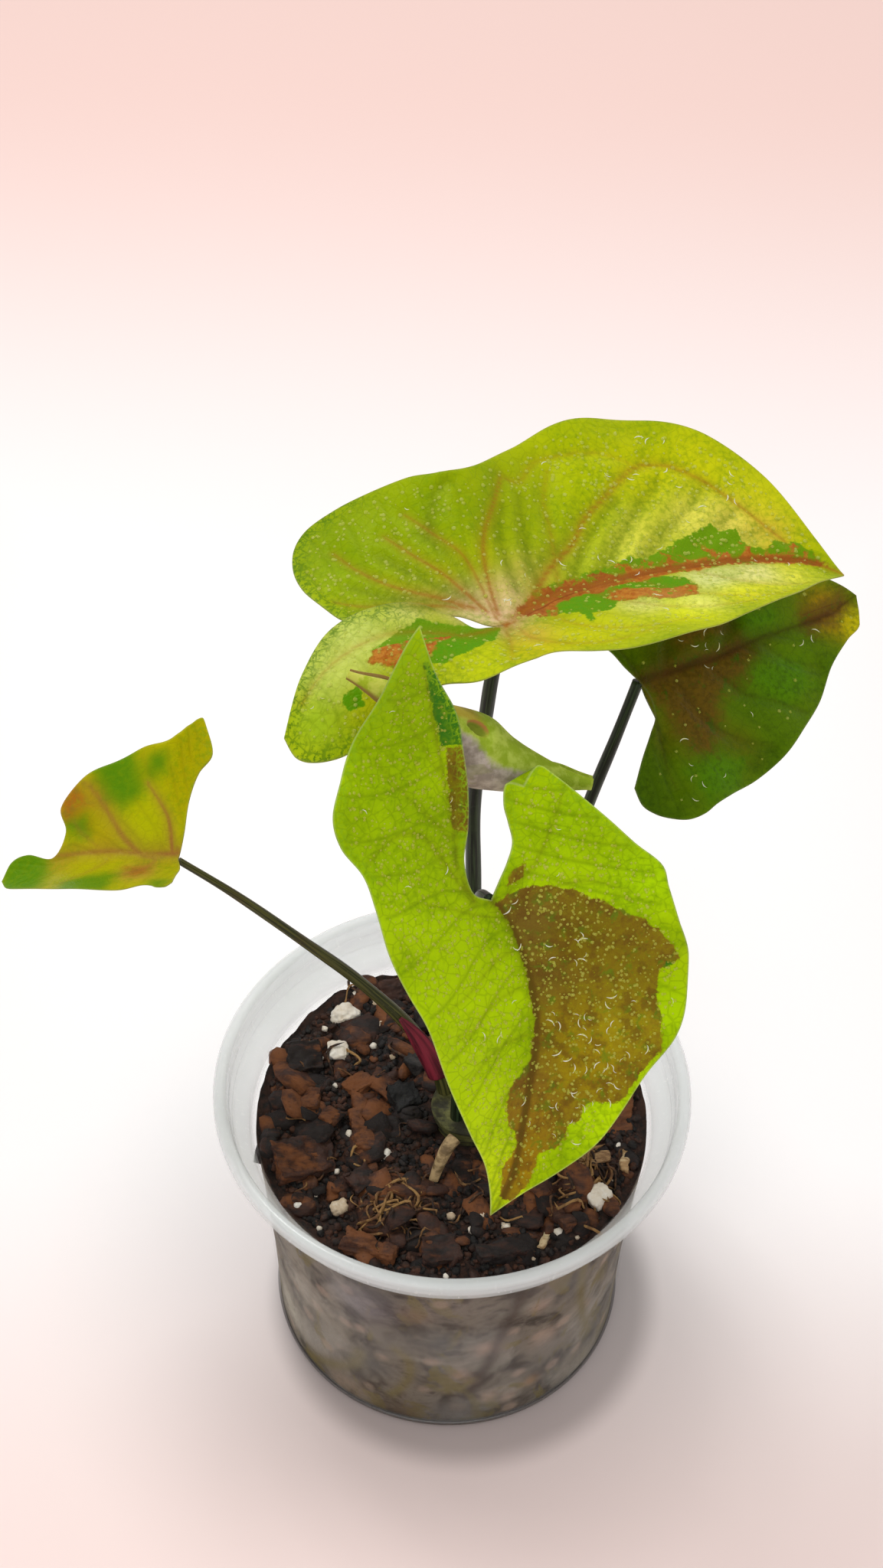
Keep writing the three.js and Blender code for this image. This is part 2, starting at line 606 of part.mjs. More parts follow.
// Where a petiole ends: just under the blade, square to it
function petioleEnd(leaf, below) {
  const frame = leafFrame(leaf);
  const point = frame.origin.clone().addScaledVector(frame.up, -(BLADE_THICKNESS + below));
  return [point.x, point.y, point.z];
}

// The petioles, from their sockets in the crown up to their blades
const SOCKET_FOOT = 57;
const PETIOLES = {
  top: {
    points: [[4.6, 3.2, SOCKET_FOOT], [4.2, 5.6, 84], [2.9, 8.2, 111.5], [2.4, 9.4, 134.5], [3.8, 9.6, 153.2],
      [4.7, 9.8, 163], petioleEnd(TOP_LEAF, 0.8)],
    radii: [1.7, 1.15],
  },
  front: {
    points: [[4.4, -4.8, SOCKET_FOOT], [4.2, -9.5, 90], [3.6, -15.6, 120], petioleEnd(FRONT_LEAF, 4.5),
      petioleEnd(FRONT_LEAF, 0.5)],
    radii: [1.6, 1],
  },
  right: {
    points: [[7.2, -0.4, SOCKET_FOOT], [12.8, 6.4, 90], [22.6, 15.6, 127.8], [26.4, 18.2, 141],
      petioleEnd(RIGHT_LEAF, 1.3)],
    radii: [1.55, 1],
  },
  left: {
    points: [[-0.6, 1.8, SOCKET_FOOT], [-2.8, 4.2, 65], [-7.8, 6.8, 73.6], [-17.5, 8.8, 85], [-27.2, 9.3, 95.2],
      [-40, 9.4, 108.6], petioleEnd(LEFT_LEAF, 1.1)],
    radii: [1.6, 0.65],
  },
};

// The new leaf: a blade rolled up on itself around a bowed line, thick in the middle
const ROLLED_SPINE = [
  { at: [-17.7, -6.1, 177.1], radius: 0.8 },
  { at: [-12.4, -7.7, 175.5], radius: 1.9 },
  { at: [-5.8, -8.2, 170.1], radius: 3.2 },
  { at: [0.9, -6.2, 161.6], radius: 6.2 },
  { at: [7.0, -6.7, 158.4], radius: 4.6 },
  { at: [13.1, -6.9, 156.8], radius: 2.5 },
  { at: [20.6, -7.3, 155.7], radius: 0.8 },
];
const ROLL_START = -0.5;
const ROLL_TURN = 6.1;
const ROLL_PITCH = 1.3;
const ROLL_ROW_STEPS = 2;
const ROLL_COLUMNS = 16;
const ROLL_SEAT = 3;

// The centre, the axes and the radius of the roll at a part of its length
function rollFrame(along, radius) {
  const path = new THREE.CatmullRomCurve3(ROLLED_SPINE.map(({ at }) => new THREE.Vector3(...at)));
  const tangent = path.getTangent(along);
  const side = new THREE.Vector3(0, 0, 1).cross(tangent).normalize();
  const up = tangent.clone().cross(side).normalize();
  return { centre: path.getPoint(along), side, up, radius };
}

// A place on the rolled sheet: the angle runs around the roll and the radius shrinks along it
function rollPoint({ centre, side, up, radius }, part, inset) {
  const turn = ROLL_TURN * THREE.MathUtils.lerp(0.45, 1, smoothstep(0.8, 4, radius));
  const angle = ROLL_START + turn * (part - 0.5);
  const reach = Math.max(radius - ROLL_PITCH * part * smoothstep(2, 4, radius) - inset, 0.15);
  const point = centre.clone().addScaledVector(side, reach * Math.sin(angle));
  return point.addScaledVector(up, -reach * Math.cos(angle));
}

// A thin curved sheet from two grids of points, its outer and its inner face, closed all round
function sheetGeometry(outerRows, innerRows) {
  const columns = outerRows[0].length - 1;
  const rows = outerRows.length - 1;
  const positions = [];
  const triangles = [];
  [...outerRows, ...innerRows].flat().forEach((point) => positions.push(point.x, point.y, point.z));
  const outer = (row, column) => row * (columns + 1) + column;
  const inner = (row, column) => outer(row + rows + 1, column);
  const quad = (a, b, c, d) => triangles.push(a, c, b, a, d, c);
  for (let row = 0; row < rows; row += 1) {
    for (let column = 0; column < columns; column += 1) {
      quad(outer(row, column), outer(row + 1, column), outer(row + 1, column + 1), outer(row, column + 1));
      quad(inner(row, column), inner(row, column + 1), inner(row + 1, column + 1), inner(row + 1, column));
    }
    quad(outer(row, 0), inner(row, 0), inner(row + 1, 0), outer(row + 1, 0));
    quad(outer(row, columns), outer(row + 1, columns), inner(row + 1, columns), inner(row, columns));
  }
  for (let column = 0; column < columns; column += 1) {
    quad(outer(0, column), outer(0, column + 1), inner(0, column + 1), inner(0, column));
    quad(outer(rows, column), inner(rows, column), inner(rows, column + 1), outer(rows, column + 1));
  }
  return geometryFrom(positions, triangles);
}

function rolledLeafGeometry() {
  const radii = throughStations(ROLLED_SPINE.map(({ radius }, index) => [index, radius]), ROLL_ROW_STEPS);
  const gridAt = (inset) => radii.map(([, radius], row) => {
    const frame = rollFrame(row / (radii.length - 1), radius);
    const parts = Array.from({ length: ROLL_COLUMNS + 1 }, (_, column) => column / ROLL_COLUMNS);
    return parts.map((part) => rollPoint(frame, part, inset));
  });
  return sheetGeometry(gridAt(0), gridAt(BLADE_THICKNESS));
}

// The stalk of the new leaf ends just under the thickest place of the roll
function stalkEnd(below) {
  const { radius } = ROLLED_SPINE[ROLL_SEAT];
  const frame = rollFrame(ROLL_SEAT / (ROLLED_SPINE.length - 1), radius);
  const point = frame.centre.clone().addScaledVector(frame.up, -(radius + below));
  return [point.x, point.y, point.z];
}

const STALK = {
  points: [[1, -3.2, SOCKET_FOOT], [1, -5.2, 90], [0.9, -7.2, 128], stalkEnd(5), stalkEnd(0)],
  radii: [1.35, 1.1],
};

// The sheath: a thin trough that hugs the upper side of the left petiole and ends in a point
const SHEATH = { from: 0.1, to: 0.3, thickness: 0.6, spread: 1.35, middle: 2.3, rows: 9, columns: 8 };

function sheathGeometry() {
  const petiole = new THREE.CatmullRomCurve3(PETIOLES.left.points.map((point) => new THREE.Vector3(...point)));
  const gridAt = (extra) => Array.from({ length: SHEATH.rows + 1 }, (_, row) => {
    const along = THREE.MathUtils.lerp(SHEATH.from, SHEATH.to, row / SHEATH.rows);
    const centre = petiole.getPointAt(along);
    const tangent = petiole.getTangentAt(along);
    const side = new THREE.Vector3(0, 0, 1).cross(tangent).normalize();
    const up = tangent.clone().cross(side).normalize();
    const reach = THREE.MathUtils.lerp(...PETIOLES.left.radii, along) + CLEARANCE + extra;
    const spread = SHEATH.spread * (1 - 0.85 * (row / SHEATH.rows) ** 1.6);
    return Array.from({ length: SHEATH.columns + 1 }, (__, column) => {
      const angle = SHEATH.middle + spread * ((2 * column) / SHEATH.columns - 1);
      const point = centre.clone().addScaledVector(side, reach * Math.sin(angle));
      return point.addScaledVector(up, -reach * Math.cos(angle));
    });
  });
  return sheetGeometry(gridAt(SHEATH.thickness), gridAt(0));
}

const CROWN = {
  points: [[3.2, -0.6, 42], [3.2, -0.6, 48], [3.2, -0.6, 55], [3.2, -0.6, 60.6]],
  radii: [5.4, 7.3],
  steps: 6,
  sides: 18,
};
const AERIAL_ROOT = {
  points: [[0.6, -9.2, 61.6], [-0.6, -10.6, 61], [-2.2, -13, 58.4], [-3.4, -14.8, 54.6], [-3.9, -15.6, 50]],
  radii: [1.35, 1.1],
};

const FINISHES = {
  cup: material("#d9dedb", 0.3),
  mix: material("#3a2a20", 0.95),
  bark: material("#7a4326", 0.9),
  charcoal: material("#1c1917", 0.9),
  perlite: material("#e2dacb", 0.95),
  wood: material("#c9a77a", 0.9),
  stem: material("#27331f", 0.35),
  crown: material("#4a4a2a", 0.6),
  sheath: material("#6b1f2a", 0.5),
  root: material("#b09a74", 0.85),
  topBlade: material("#b9cf3a", 0.4),
  frontBlade: material("#9cc21c", 0.4),
  rightBlade: material("#3f5a1e", 0.35),
  leftBlade: material("#a7a93a", 0.5),
  rolledBlade: material("#c9b7a8", 0.5),
};

const plant = new THREE.Group();

function add(name, geometry, finish) {
  const mesh = new THREE.Mesh(geometry, FINISHES[finish].clone());
  mesh.name = name;
  plant.add(mesh);
}

function stemOf({ points, radii, steps = 15, sides = 8 }, extra = 0) {
  return stemGeometry(points, radii[0] + extra, radii[1] + extra, steps, sides);
}

add("nursery_cup", cup(), "cup");

let mixSolid = mixCore();
[...crumbs(), ...fibres()].forEach((piece) => {
  mixSolid = mixSolid.add(piece);
});
[CROWN, AERIAL_ROOT].forEach((stem) => {
  mixSolid = mixSolid.subtract(solidOf(stemOf(stem, CLEARANCE)));
});
CHIPS.forEach((chip) => {
  mixSolid = mixSolid.subtract(solidOf(chipGeometry(chip, CLEARANCE)));
});
const mixBodies = mixSolid.decompose().sort((a, b) => b.volume() - a.volume());
add("growing_mix", geometryOf(mixBodies[0]), "mix");
CHIPS.forEach((chip) => add(chip.name, geometryOf(solidOf(chipGeometry(chip))), chip.finish));

let crownSolid = solidOf(stemOf(CROWN));
[...Object.values(PETIOLES), STALK].forEach((stem) => {
  crownSolid = crownSolid.subtract(solidOf(stemOf(stem, CLEARANCE)));
});
add("crown_stem", geometryOf(crownSolid), "crown");
add("aerial_root", stemOf(AERIAL_ROOT), "root");
add("petiole_sheath", sheathGeometry(), "sheath");
Object.entries(PETIOLES).forEach(([place, petiole]) => add(`petiole_${place}`, stemOf(petiole), "stem"));
add("new_leaf_stalk", stemOf(STALK), "stem");
add("blade_top", bladeGeometry(TOP_LEAF), "topBlade");
add("blade_front", bladeGeometry(FRONT_LEAF), "frontBlade");
add("blade_right", bladeGeometry(RIGHT_LEAF), "rightBlade");
add("blade_left", bladeGeometry(LEFT_LEAF), "leftBlade");
add("new_leaf_rolled", rolledLeafGeometry(), "rolledBlade");

export default plant;
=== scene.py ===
"""The looks of a young syngonium in a clear nursery cup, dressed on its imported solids.

Sizes and places in the shape code are millimetres, and a mesh is turned into metres where it is made.
"""
import logging
import math
from dataclasses import dataclass
from enum import Enum
from typing import Optional, Sequence, Union

import bmesh
import bpy
import numpy as np
from mathutils import Matrix, Vector, noise


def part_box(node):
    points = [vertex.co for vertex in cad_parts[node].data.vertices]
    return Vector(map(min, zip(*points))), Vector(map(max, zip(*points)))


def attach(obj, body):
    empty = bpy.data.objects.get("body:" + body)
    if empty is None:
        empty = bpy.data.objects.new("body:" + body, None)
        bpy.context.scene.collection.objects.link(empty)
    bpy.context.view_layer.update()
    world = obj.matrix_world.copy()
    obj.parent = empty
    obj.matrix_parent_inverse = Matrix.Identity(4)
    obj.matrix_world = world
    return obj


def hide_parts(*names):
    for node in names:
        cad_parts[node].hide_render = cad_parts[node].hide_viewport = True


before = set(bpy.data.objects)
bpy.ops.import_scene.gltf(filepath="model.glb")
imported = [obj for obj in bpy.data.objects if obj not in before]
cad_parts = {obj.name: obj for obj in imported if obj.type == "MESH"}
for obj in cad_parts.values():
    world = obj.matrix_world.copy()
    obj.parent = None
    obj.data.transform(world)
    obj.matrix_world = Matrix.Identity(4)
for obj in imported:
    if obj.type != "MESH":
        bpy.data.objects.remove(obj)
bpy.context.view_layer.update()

logging.basicConfig(level=logging.INFO, format="%(message)s")
LOG = logging.getLogger("syngonium")

MM = 0.001
BODY = "root"

Point = Sequence[float]
Colour = tuple[float, float, float, float]
Socket = bpy.types.NodeSocket
Signal = Union[Socket, float, str, Sequence[float]]
Faces = list[tuple[int, ...]]


def srgb(code: str) -> Colour:
    """Turns a screen colour such as "#7a4326" into Blender's linear colour.

    Args:
        code: The colour as a hash sign and six hex digits.

    Returns:
        Red, green, blue and an alpha of 1.
    """
    parts = [int(code[start:start + 2], 16) / 255 for start in (1, 3, 5)]
    linear = [part / 12.92 if part <= 0.04045 else ((part + 0.055) / 1.055) ** 2.4 for part in parts]
    return (*linear, 1.0)


def smoothstep(low: float, high: float, value: np.ndarray) -> np.ndarray:
    """Runs smoothly from 0 where value is low to 1 where it is high."""
    part = np.clip((value - low) / (high - low), 0, 1)
    return part * part * (3 - 2 * part)


def unit(vector: Point) -> np.ndarray:
    """The vector at length 1."""
    array = np.asarray(vector, float)
    return array / np.linalg.norm(array)


def through_stations(stations: Sequence[Point], steps: int) -> np.ndarray:
    """A smooth curve through the stations, with the same number of steps between each two.

    Args:
        stations: The points that the curve passes through.
        steps: How many steps lie between two stations.

    Returns:
        One row for each point of the curve.
    """
    known = np.asarray(stations, float)
    count = len(known)
    points = [known[0]]
    for index in range(count - 1):
        a, b, c, d = (known[min(max(index + shift, 0), count - 1)] for shift in (-1, 0, 1, 2))
        for step in range(1, steps + 1):
            t = step / steps
            ends = (2 * t**3 - 3 * t**2 + 1) * b + (3 * t**2 - 2 * t**3) * c
            points.append(ends + (t**3 - 2 * t**2 + t) * (c - a) / 2 + (t**3 - t**2) * (d - b) / 2)
    return np.array(points)


def centripetal(points: Sequence[Point], parts: np.ndarray) -> np.ndarray:
    """Points on a centripetal Catmull-Rom curve, the curve that the solids' stems follow.

    Args:
        points: The curve's control points.
        parts: Places between 0, the first point, and 1, the last, evenly shared among the spans.

    Returns:
        One row for each part.
    """
    known = np.asarray(points, float)
    padded = np.vstack([2 * known[0] - known[1], known, 2 * known[-1] - known[-2]])
    result = []
    for part in parts:
        place = min(part, 1 - 1e-9) * (len(known) - 1)
        span = int(place)
        t = place - span
        p0, p1, p2, p3 = padded[span:span + 4]
        d0, d1, d2 = (max(np.linalg.norm(b - a), 1e-6) ** 0.5 for a, b in ((p0, p1), (p1, p2), (p2, p3)))
        m1 = d1 * ((p1 - p0) / d0 - (p2 - p0) / (d0 + d1) + (p2 - p1) / d1)
        m2 = d1 * ((p2 - p1) / d1 - (p3 - p1) / (d1 + d2) + (p3 - p2) / d2)
        ends = (2 * t**3 - 3 * t**2 + 1) * p1 + (3 * t**2 - 2 * t**3) * p2
        result.append(ends + (t**3 - 2 * t**2 + t) * m1 + (t**3 - t**2) * m2)
    return np.array(result)


def line_distance(places: np.ndarray, line: np.ndarray) -> np.ndarray:
    """How far each plane place lies from a polyline.

    Args:
        places: One row of u and v for each place.
        line: The polyline's points.

    Returns:
        The distance of each place.
    """
    best = np.full(len(places), np.inf)
    for start, end in zip(line[:-1], line[1:]):
        along = end - start
        size = max(float(along @ along), 1e-12)
        part = np.clip(((places - start) @ along) / size, 0, 1)
        best = np.minimum(best, np.linalg.norm(places - start - part[:, None] * along, axis=1))
    return best


def inside_distance(places: np.ndarray, outline: Sequence[Point]) -> np.ndarray:
    """How deep each place lies inside a closed outline, below zero outside it.

    Args:
        places: One row of u and v for each place.
        outline: The outline's corners.

    Returns:
        The depth of each place.
    """
    ring = np.asarray(outline, float)
    closed = np.vstack([ring, ring[:1]])
    inside = np.zeros(len(places), bool)
    for (x0, y0), (x1, y1) in zip(closed[:-1], closed[1:]):
        if y0 == y1:
            continue
        crosses = (y0 > places[:, 1]) != (y1 > places[:, 1])
        inside ^= crosses & (places[:, 0] < (x1 - x0) * (places[:, 1] - y0) / (y1 - y0) + x0)
    return np.where(inside, 1, -1) * line_distance(places, closed)


def make_mesh(name: str, points: np.ndarray, faces: Sequence[Sequence[int]],
              fields: Optional[dict[str, np.ndarray]] = None, merge: float = 1e-4) -> bpy.types.Object:
    """Makes a smooth object from points in millimetres, with its equal points merged.

    Args:
        name: The object's name.
        points: One row of x, y and z for each vertex.
        faces: Vertex numbers of each face, counter-clockwise from outside.
        fields: Attributes by name, one number or one row of three for each vertex.
        merge: Points closer than this many millimetres become one.

    Returns:
        The object, at the origin.
    """
    mesh = bpy.data.meshes.new(name)
    mesh.from_pydata((np.asarray(points) * MM).tolist(), [], [tuple(face) for face in faces])
    for key, values in (fields or {}).items():
        flat = values.ndim == 1
        attribute = mesh.attributes.new(key, "FLOAT" if flat else "FLOAT_VECTOR", "POINT")
        attribute.data.foreach_set("value" if flat else "vector", values.astype(np.float32).ravel())
    edit = bmesh.new()
    edit.from_mesh(mesh)
    bmesh.ops.remove_doubles(edit, verts=edit.verts, dist=merge * MM)
    bmesh.ops.dissolve_degenerate(edit, edges=edit.edges, dist=merge * MM)
    edit.to_mesh(mesh)
    edit.free()
    mesh.validate()
    mesh.polygons.foreach_set("use_smooth", [True] * len(mesh.polygons))
    return shown(name, mesh)


def grid_faces(rows: int, columns: int, start: int = 0, flip: bool = False) -> Faces:
    """The quads of a grid whose vertices are numbered row by row.

    Args:
        rows: How many rows of vertices there are.
        columns: How many vertices each row has.
        start: The first vertex's number.
        flip: Whether the quads turn the other way.

    Returns:
        The vertex numbers of each quad.
    """
    faces = []
    for row in range(rows - 1):
        for column in range(columns - 1):
            a = start + row * columns + column
            quad = (a, a + 1, a + columns + 1, a + columns)
            faces.append(quad[::-1] if flip else quad)
    return faces


def ring_faces(rings: int, sides: int, start: int = 0, capped: bool = False) -> Faces:
    """The quads between closed rings of vertices, and the two end faces if they are capped.

    Args:
        rings: How many rings there are.
        sides: How many vertices each ring has.
        start: The first vertex's number.
        capped: Whether the first and the last ring get a face of their own.

    Returns:
        The vertex numbers of each face.
    """
    faces = []
    for first in range(start, start + (rings - 1) * sides, sides):
        for side in range(sides):
            a, b = first + side, first + (side + 1) % sides
            faces.append((a, b, b + sides, a + sides))
    if capped:
        last = start + (rings - 1) * sides
        faces += [tuple(range(start, start + sides))[::-1], tuple(range(last, last + sides))]
    return faces


def slab_faces(rows: int, columns: int) -> Faces:
    """The faces of a thin sheet: its outer grid, then its inner grid, then the walls between them.

    Args:
        rows: How many rows of vertices each grid has.
        columns: How many vertices each row has.

    Returns:
        The vertex numbers of each quad.
    """
    count = rows * columns
    faces = grid_faces(rows, columns, 0, flip=True) + grid_faces(rows, columns, count)
    for a in [row * columns + end for row in range(rows - 1) for end in (0, columns - 1)]:
        faces.append((a, a + columns, a + columns + count, a + count))
    for a in [end * columns + column for column in range(columns - 1) for end in (0, rows - 1)]:
        faces.append((a, a + 1, a + 1 + count, a + count))
    return faces


def shown(name: str, mesh: bpy.types.Mesh) -> bpy.types.Object:
    """A new object in the scene that has the mesh."""
    piece = bpy.data.objects.new(name, mesh)
    bpy.context.scene.collection.objects.link(piece)
    return piece


def applied(piece: bpy.types.Object) -> bpy.types.Mesh:
    """The piece's mesh with its modifiers applied."""
    graph = bpy.context.evaluated_depsgraph_get()
    return bpy.data.meshes.new_from_object(piece.evaluated_get(graph))


def turn_outward(piece: bpy.types.Object) -> None:
    """Turns all faces of a closed piece outward.

    Args:
        piece: The closed piece.
    """
    edit = bmesh.new()
    edit.from_mesh(piece.data)
    bmesh.ops.recalc_face_normals(edit, faces=edit.faces)
    edit.to_mesh(piece.data)
    edit.free()


def cross_axes(tangent: np.ndarray) -> tuple[np.ndarray, np.ndarray]:
    """The level direction and the upward one across a line that runs along the tangent."""
    side = unit(np.cross((0, 0, 1), tangent))
    return side, unit(np.cross(tangent, side))


def measured(points: Sequence[Point], count: int) -> tuple[np.ndarray, np.ndarray]:
    """The curve through the points, and how far along it each of its places lies."""
    line = centripetal(points, np.linspace(0, 1, count))
    return line, np.concatenate([[0], np.cumsum(np.linalg.norm(np.diff(line, axis=0), axis=1))])


def places_at(line: np.ndarray, length: np.ndarray, wanted: np.ndarray) -> np.ndarray:
    """The places on a measured line at the wanted lengths."""
    return np.column_stack([np.interp(wanted, length, line[:, axis]) for axis in range(3)])


def seat(piece: bpy.types.Object, slot: str, nodes: Sequence[str],
         material: Optional[bpy.types.Material] = None) -> None:
    """Dresses a piece and makes it ride on the plant's body and stand for its nodes.

    Args:
        piece: The finished piece.
        slot: Not used.
        nodes: The solids that the piece replaces, or none.
        material: The piece's only material, unless it wears it already.
    """
    if material:
        piece.data.materials.clear()
        piece.data.materials.append(material)
    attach(piece, BODY)
    if nodes:
        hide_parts(*nodes)
    LOG.info("%s: %d faces, for %s", piece.name, len(piece.data.polygons), ", ".join(nodes) or "itself")


def feed(tree: bpy.types.NodeTree, socket: Socket, value: object) -> None:
    """Links a socket to an input, or sets the input to a value.

    Args:
        tree: The tree that both belong to.
        socket: The input.
        value: A socket, a screen colour such as "#7a4326", or a value of the input's own kind.
    """
    if isinstance(value, bpy.types.NodeSocket):
        tree.links.new(value, socket)
    else:
        coded = isinstance(value, str) and value.startswith("#")
        socket.default_value = srgb(value) if coded else value


def add_node(tree: bpy.types.NodeTree, kind: str, inputs: dict, **settings: object) -> bpy.types.Node:
    """Adds a node to a tree.

    Args:
        tree: The tree.
        kind: The node's type.
        inputs: Sockets or values by input name or number.
        **settings: The node's own settings.

    Returns:
        The node.
    """
    node = tree.nodes.new(kind)
    for key, value in settings.items():
        setattr(node, key, value)
    for key, value in inputs.items():
        feed(tree, node.inputs[key], value)
    return node


class Paint:
    """A material in the making: each call adds a shader node and returns what it gives."""

    def __init__(self, name: str) -> None:
        """Starts an empty material with a Principled shader.

        Args:
            name: The material's name.
        """
        self.material = bpy.data.materials.new(name)
        self.material.use_nodes = True
        self.tree = self.material.node_tree
        self.shader = self.tree.nodes["Principled BSDF"]

    def node(self, kind: str, inputs: dict, **settings: object) -> bpy.types.Node:
        """Adds a node, as add_node does."""
        return add_node(self.tree, kind, inputs, **settings)

    def attribute(self, name: str, output: str = "Fac") -> Socket:
        """A number that each vertex carries, or another output of its attribute."""
        return self.node("ShaderNodeAttribute", {}, attribute_name=name).outputs[output]

    def plane(self) -> Socket:
        """The place on the piece's own plane that each vertex carries."""
        return self.attribute("plane", "Vector")

    def colour(self, name: str) -> Socket:
        """A colour that each vertex carries."""
        return self.attribute(name, "Color")

    def place(self, stretch: Point = (1, 1, 1)) -> Socket:
        """The place on the piece in millimetres, stretched."""
        spot = self.node("ShaderNodeTexCoord", {}).outputs["Object"]
        scale = [part / MM for part in stretch]
        return self.node("ShaderNodeMapping", {"Vector": spot, "Scale": scale}).outputs[0]

    def noise(self, vector: Signal, scale: float, detail: float = 3, rough: float = 0.5,
              twist: float = 0) -> Socket:
        """Cloudy noise between 0 and 1.

        Args:
            vector: The place.
            scale: How many clouds lie on a millimetre.
            detail: How many finer layers are added.
            rough: How strong the finer layers are.
            twist: How much the clouds are bent.

        Returns:
            The noise.
        """
        inputs = {"Vector": vector, "Scale": scale, "Detail": detail, "Roughness": rough, "Distortion": twist}
        return self.node("ShaderNodeTexNoise", inputs).outputs["Fac"]

    def cells(self, vector: Signal, scale: float, feature: str = "F1") -> Socket:
        """The distance to the nearest scattered cell, or to its edge."""
        inputs = {"Vector": vector, "Scale": scale}
        return self.node("ShaderNodeTexVoronoi", inputs, feature=feature).outputs["Distance"]

    def math(self, operation: str, *values: Signal) -> Socket:
        """What an operation makes of one or two numbers."""
        return self.node("ShaderNodeMath", dict(enumerate(values)), operation=operation).outputs[0]

    def times(self, first: Signal, second: Signal) -> Socket:
        """The product of two numbers."""
        return self.math("MULTIPLY", first, second)

    def plus(self, first: Signal, second: Signal) -> Socket:
        """The sum of two numbers."""
        return self.math("ADD", first, second)

    def larger(self, first: Signal, second: Signal) -> Socket:
        """The larger of two numbers."""
        return self.math("MAXIMUM", first, second)

    def ramp(self, value: Signal, low: float, high: float, to_low: float = 0, to_high: float = 1) -> Socket:
        """Maps a range smoothly onto another and holds it there.

        Args:
            value: The number to map.
            low: Where the range starts; it may be the larger end.
            high: Where the range ends.
            to_low: What the start becomes.
            to_high: What the end becomes.

        Returns:
            The mapped number.
        """
        names = {"Value": value, "From Min": low, "From Max": high, "To Min": to_low, "To Max": to_high}
        return self.node("ShaderNodeMapRange", names, interpolation_type="SMOOTHSTEP").outputs[0]

    def mix(self, part: Signal, first: Signal, second: Signal) -> Socket:
        """Goes from the first colour to the second by a part between 0 and 1."""
        inputs = {"Factor": part, 6: first, 7: second}
        return self.node("ShaderNodeMix", inputs, data_type="RGBA", clamp_factor=True).outputs[2]

    def bump(self, height: Signal, distance: float, strength: float = 1.0) -> None:
        """Gives the shader a bumped normal. The distance is the relief in millimetres."""
        inputs = {"Height": height, "Distance": distance * MM, "Strength": strength}
        feed(self.tree, self.shader.inputs["Normal"], self.node("ShaderNodeBump", inputs).outputs[0])

    def finish(self, colour: Signal, roughness: Signal, **sockets: object) -> bpy.types.Material:
        """Feeds the shader and gives the finished material.

        Args:
            colour: The base colour.
            roughness: The roughness.
            **sockets: Further inputs, with underscores for spaces in their names.

        Returns:
            The material.
        """
        for key, value in {"Base_Color": colour, "Roughness": roughness, **sockets}.items():
            feed(self.tree, self.shader.inputs[key.replace("_", " ")], value)
        return self.material


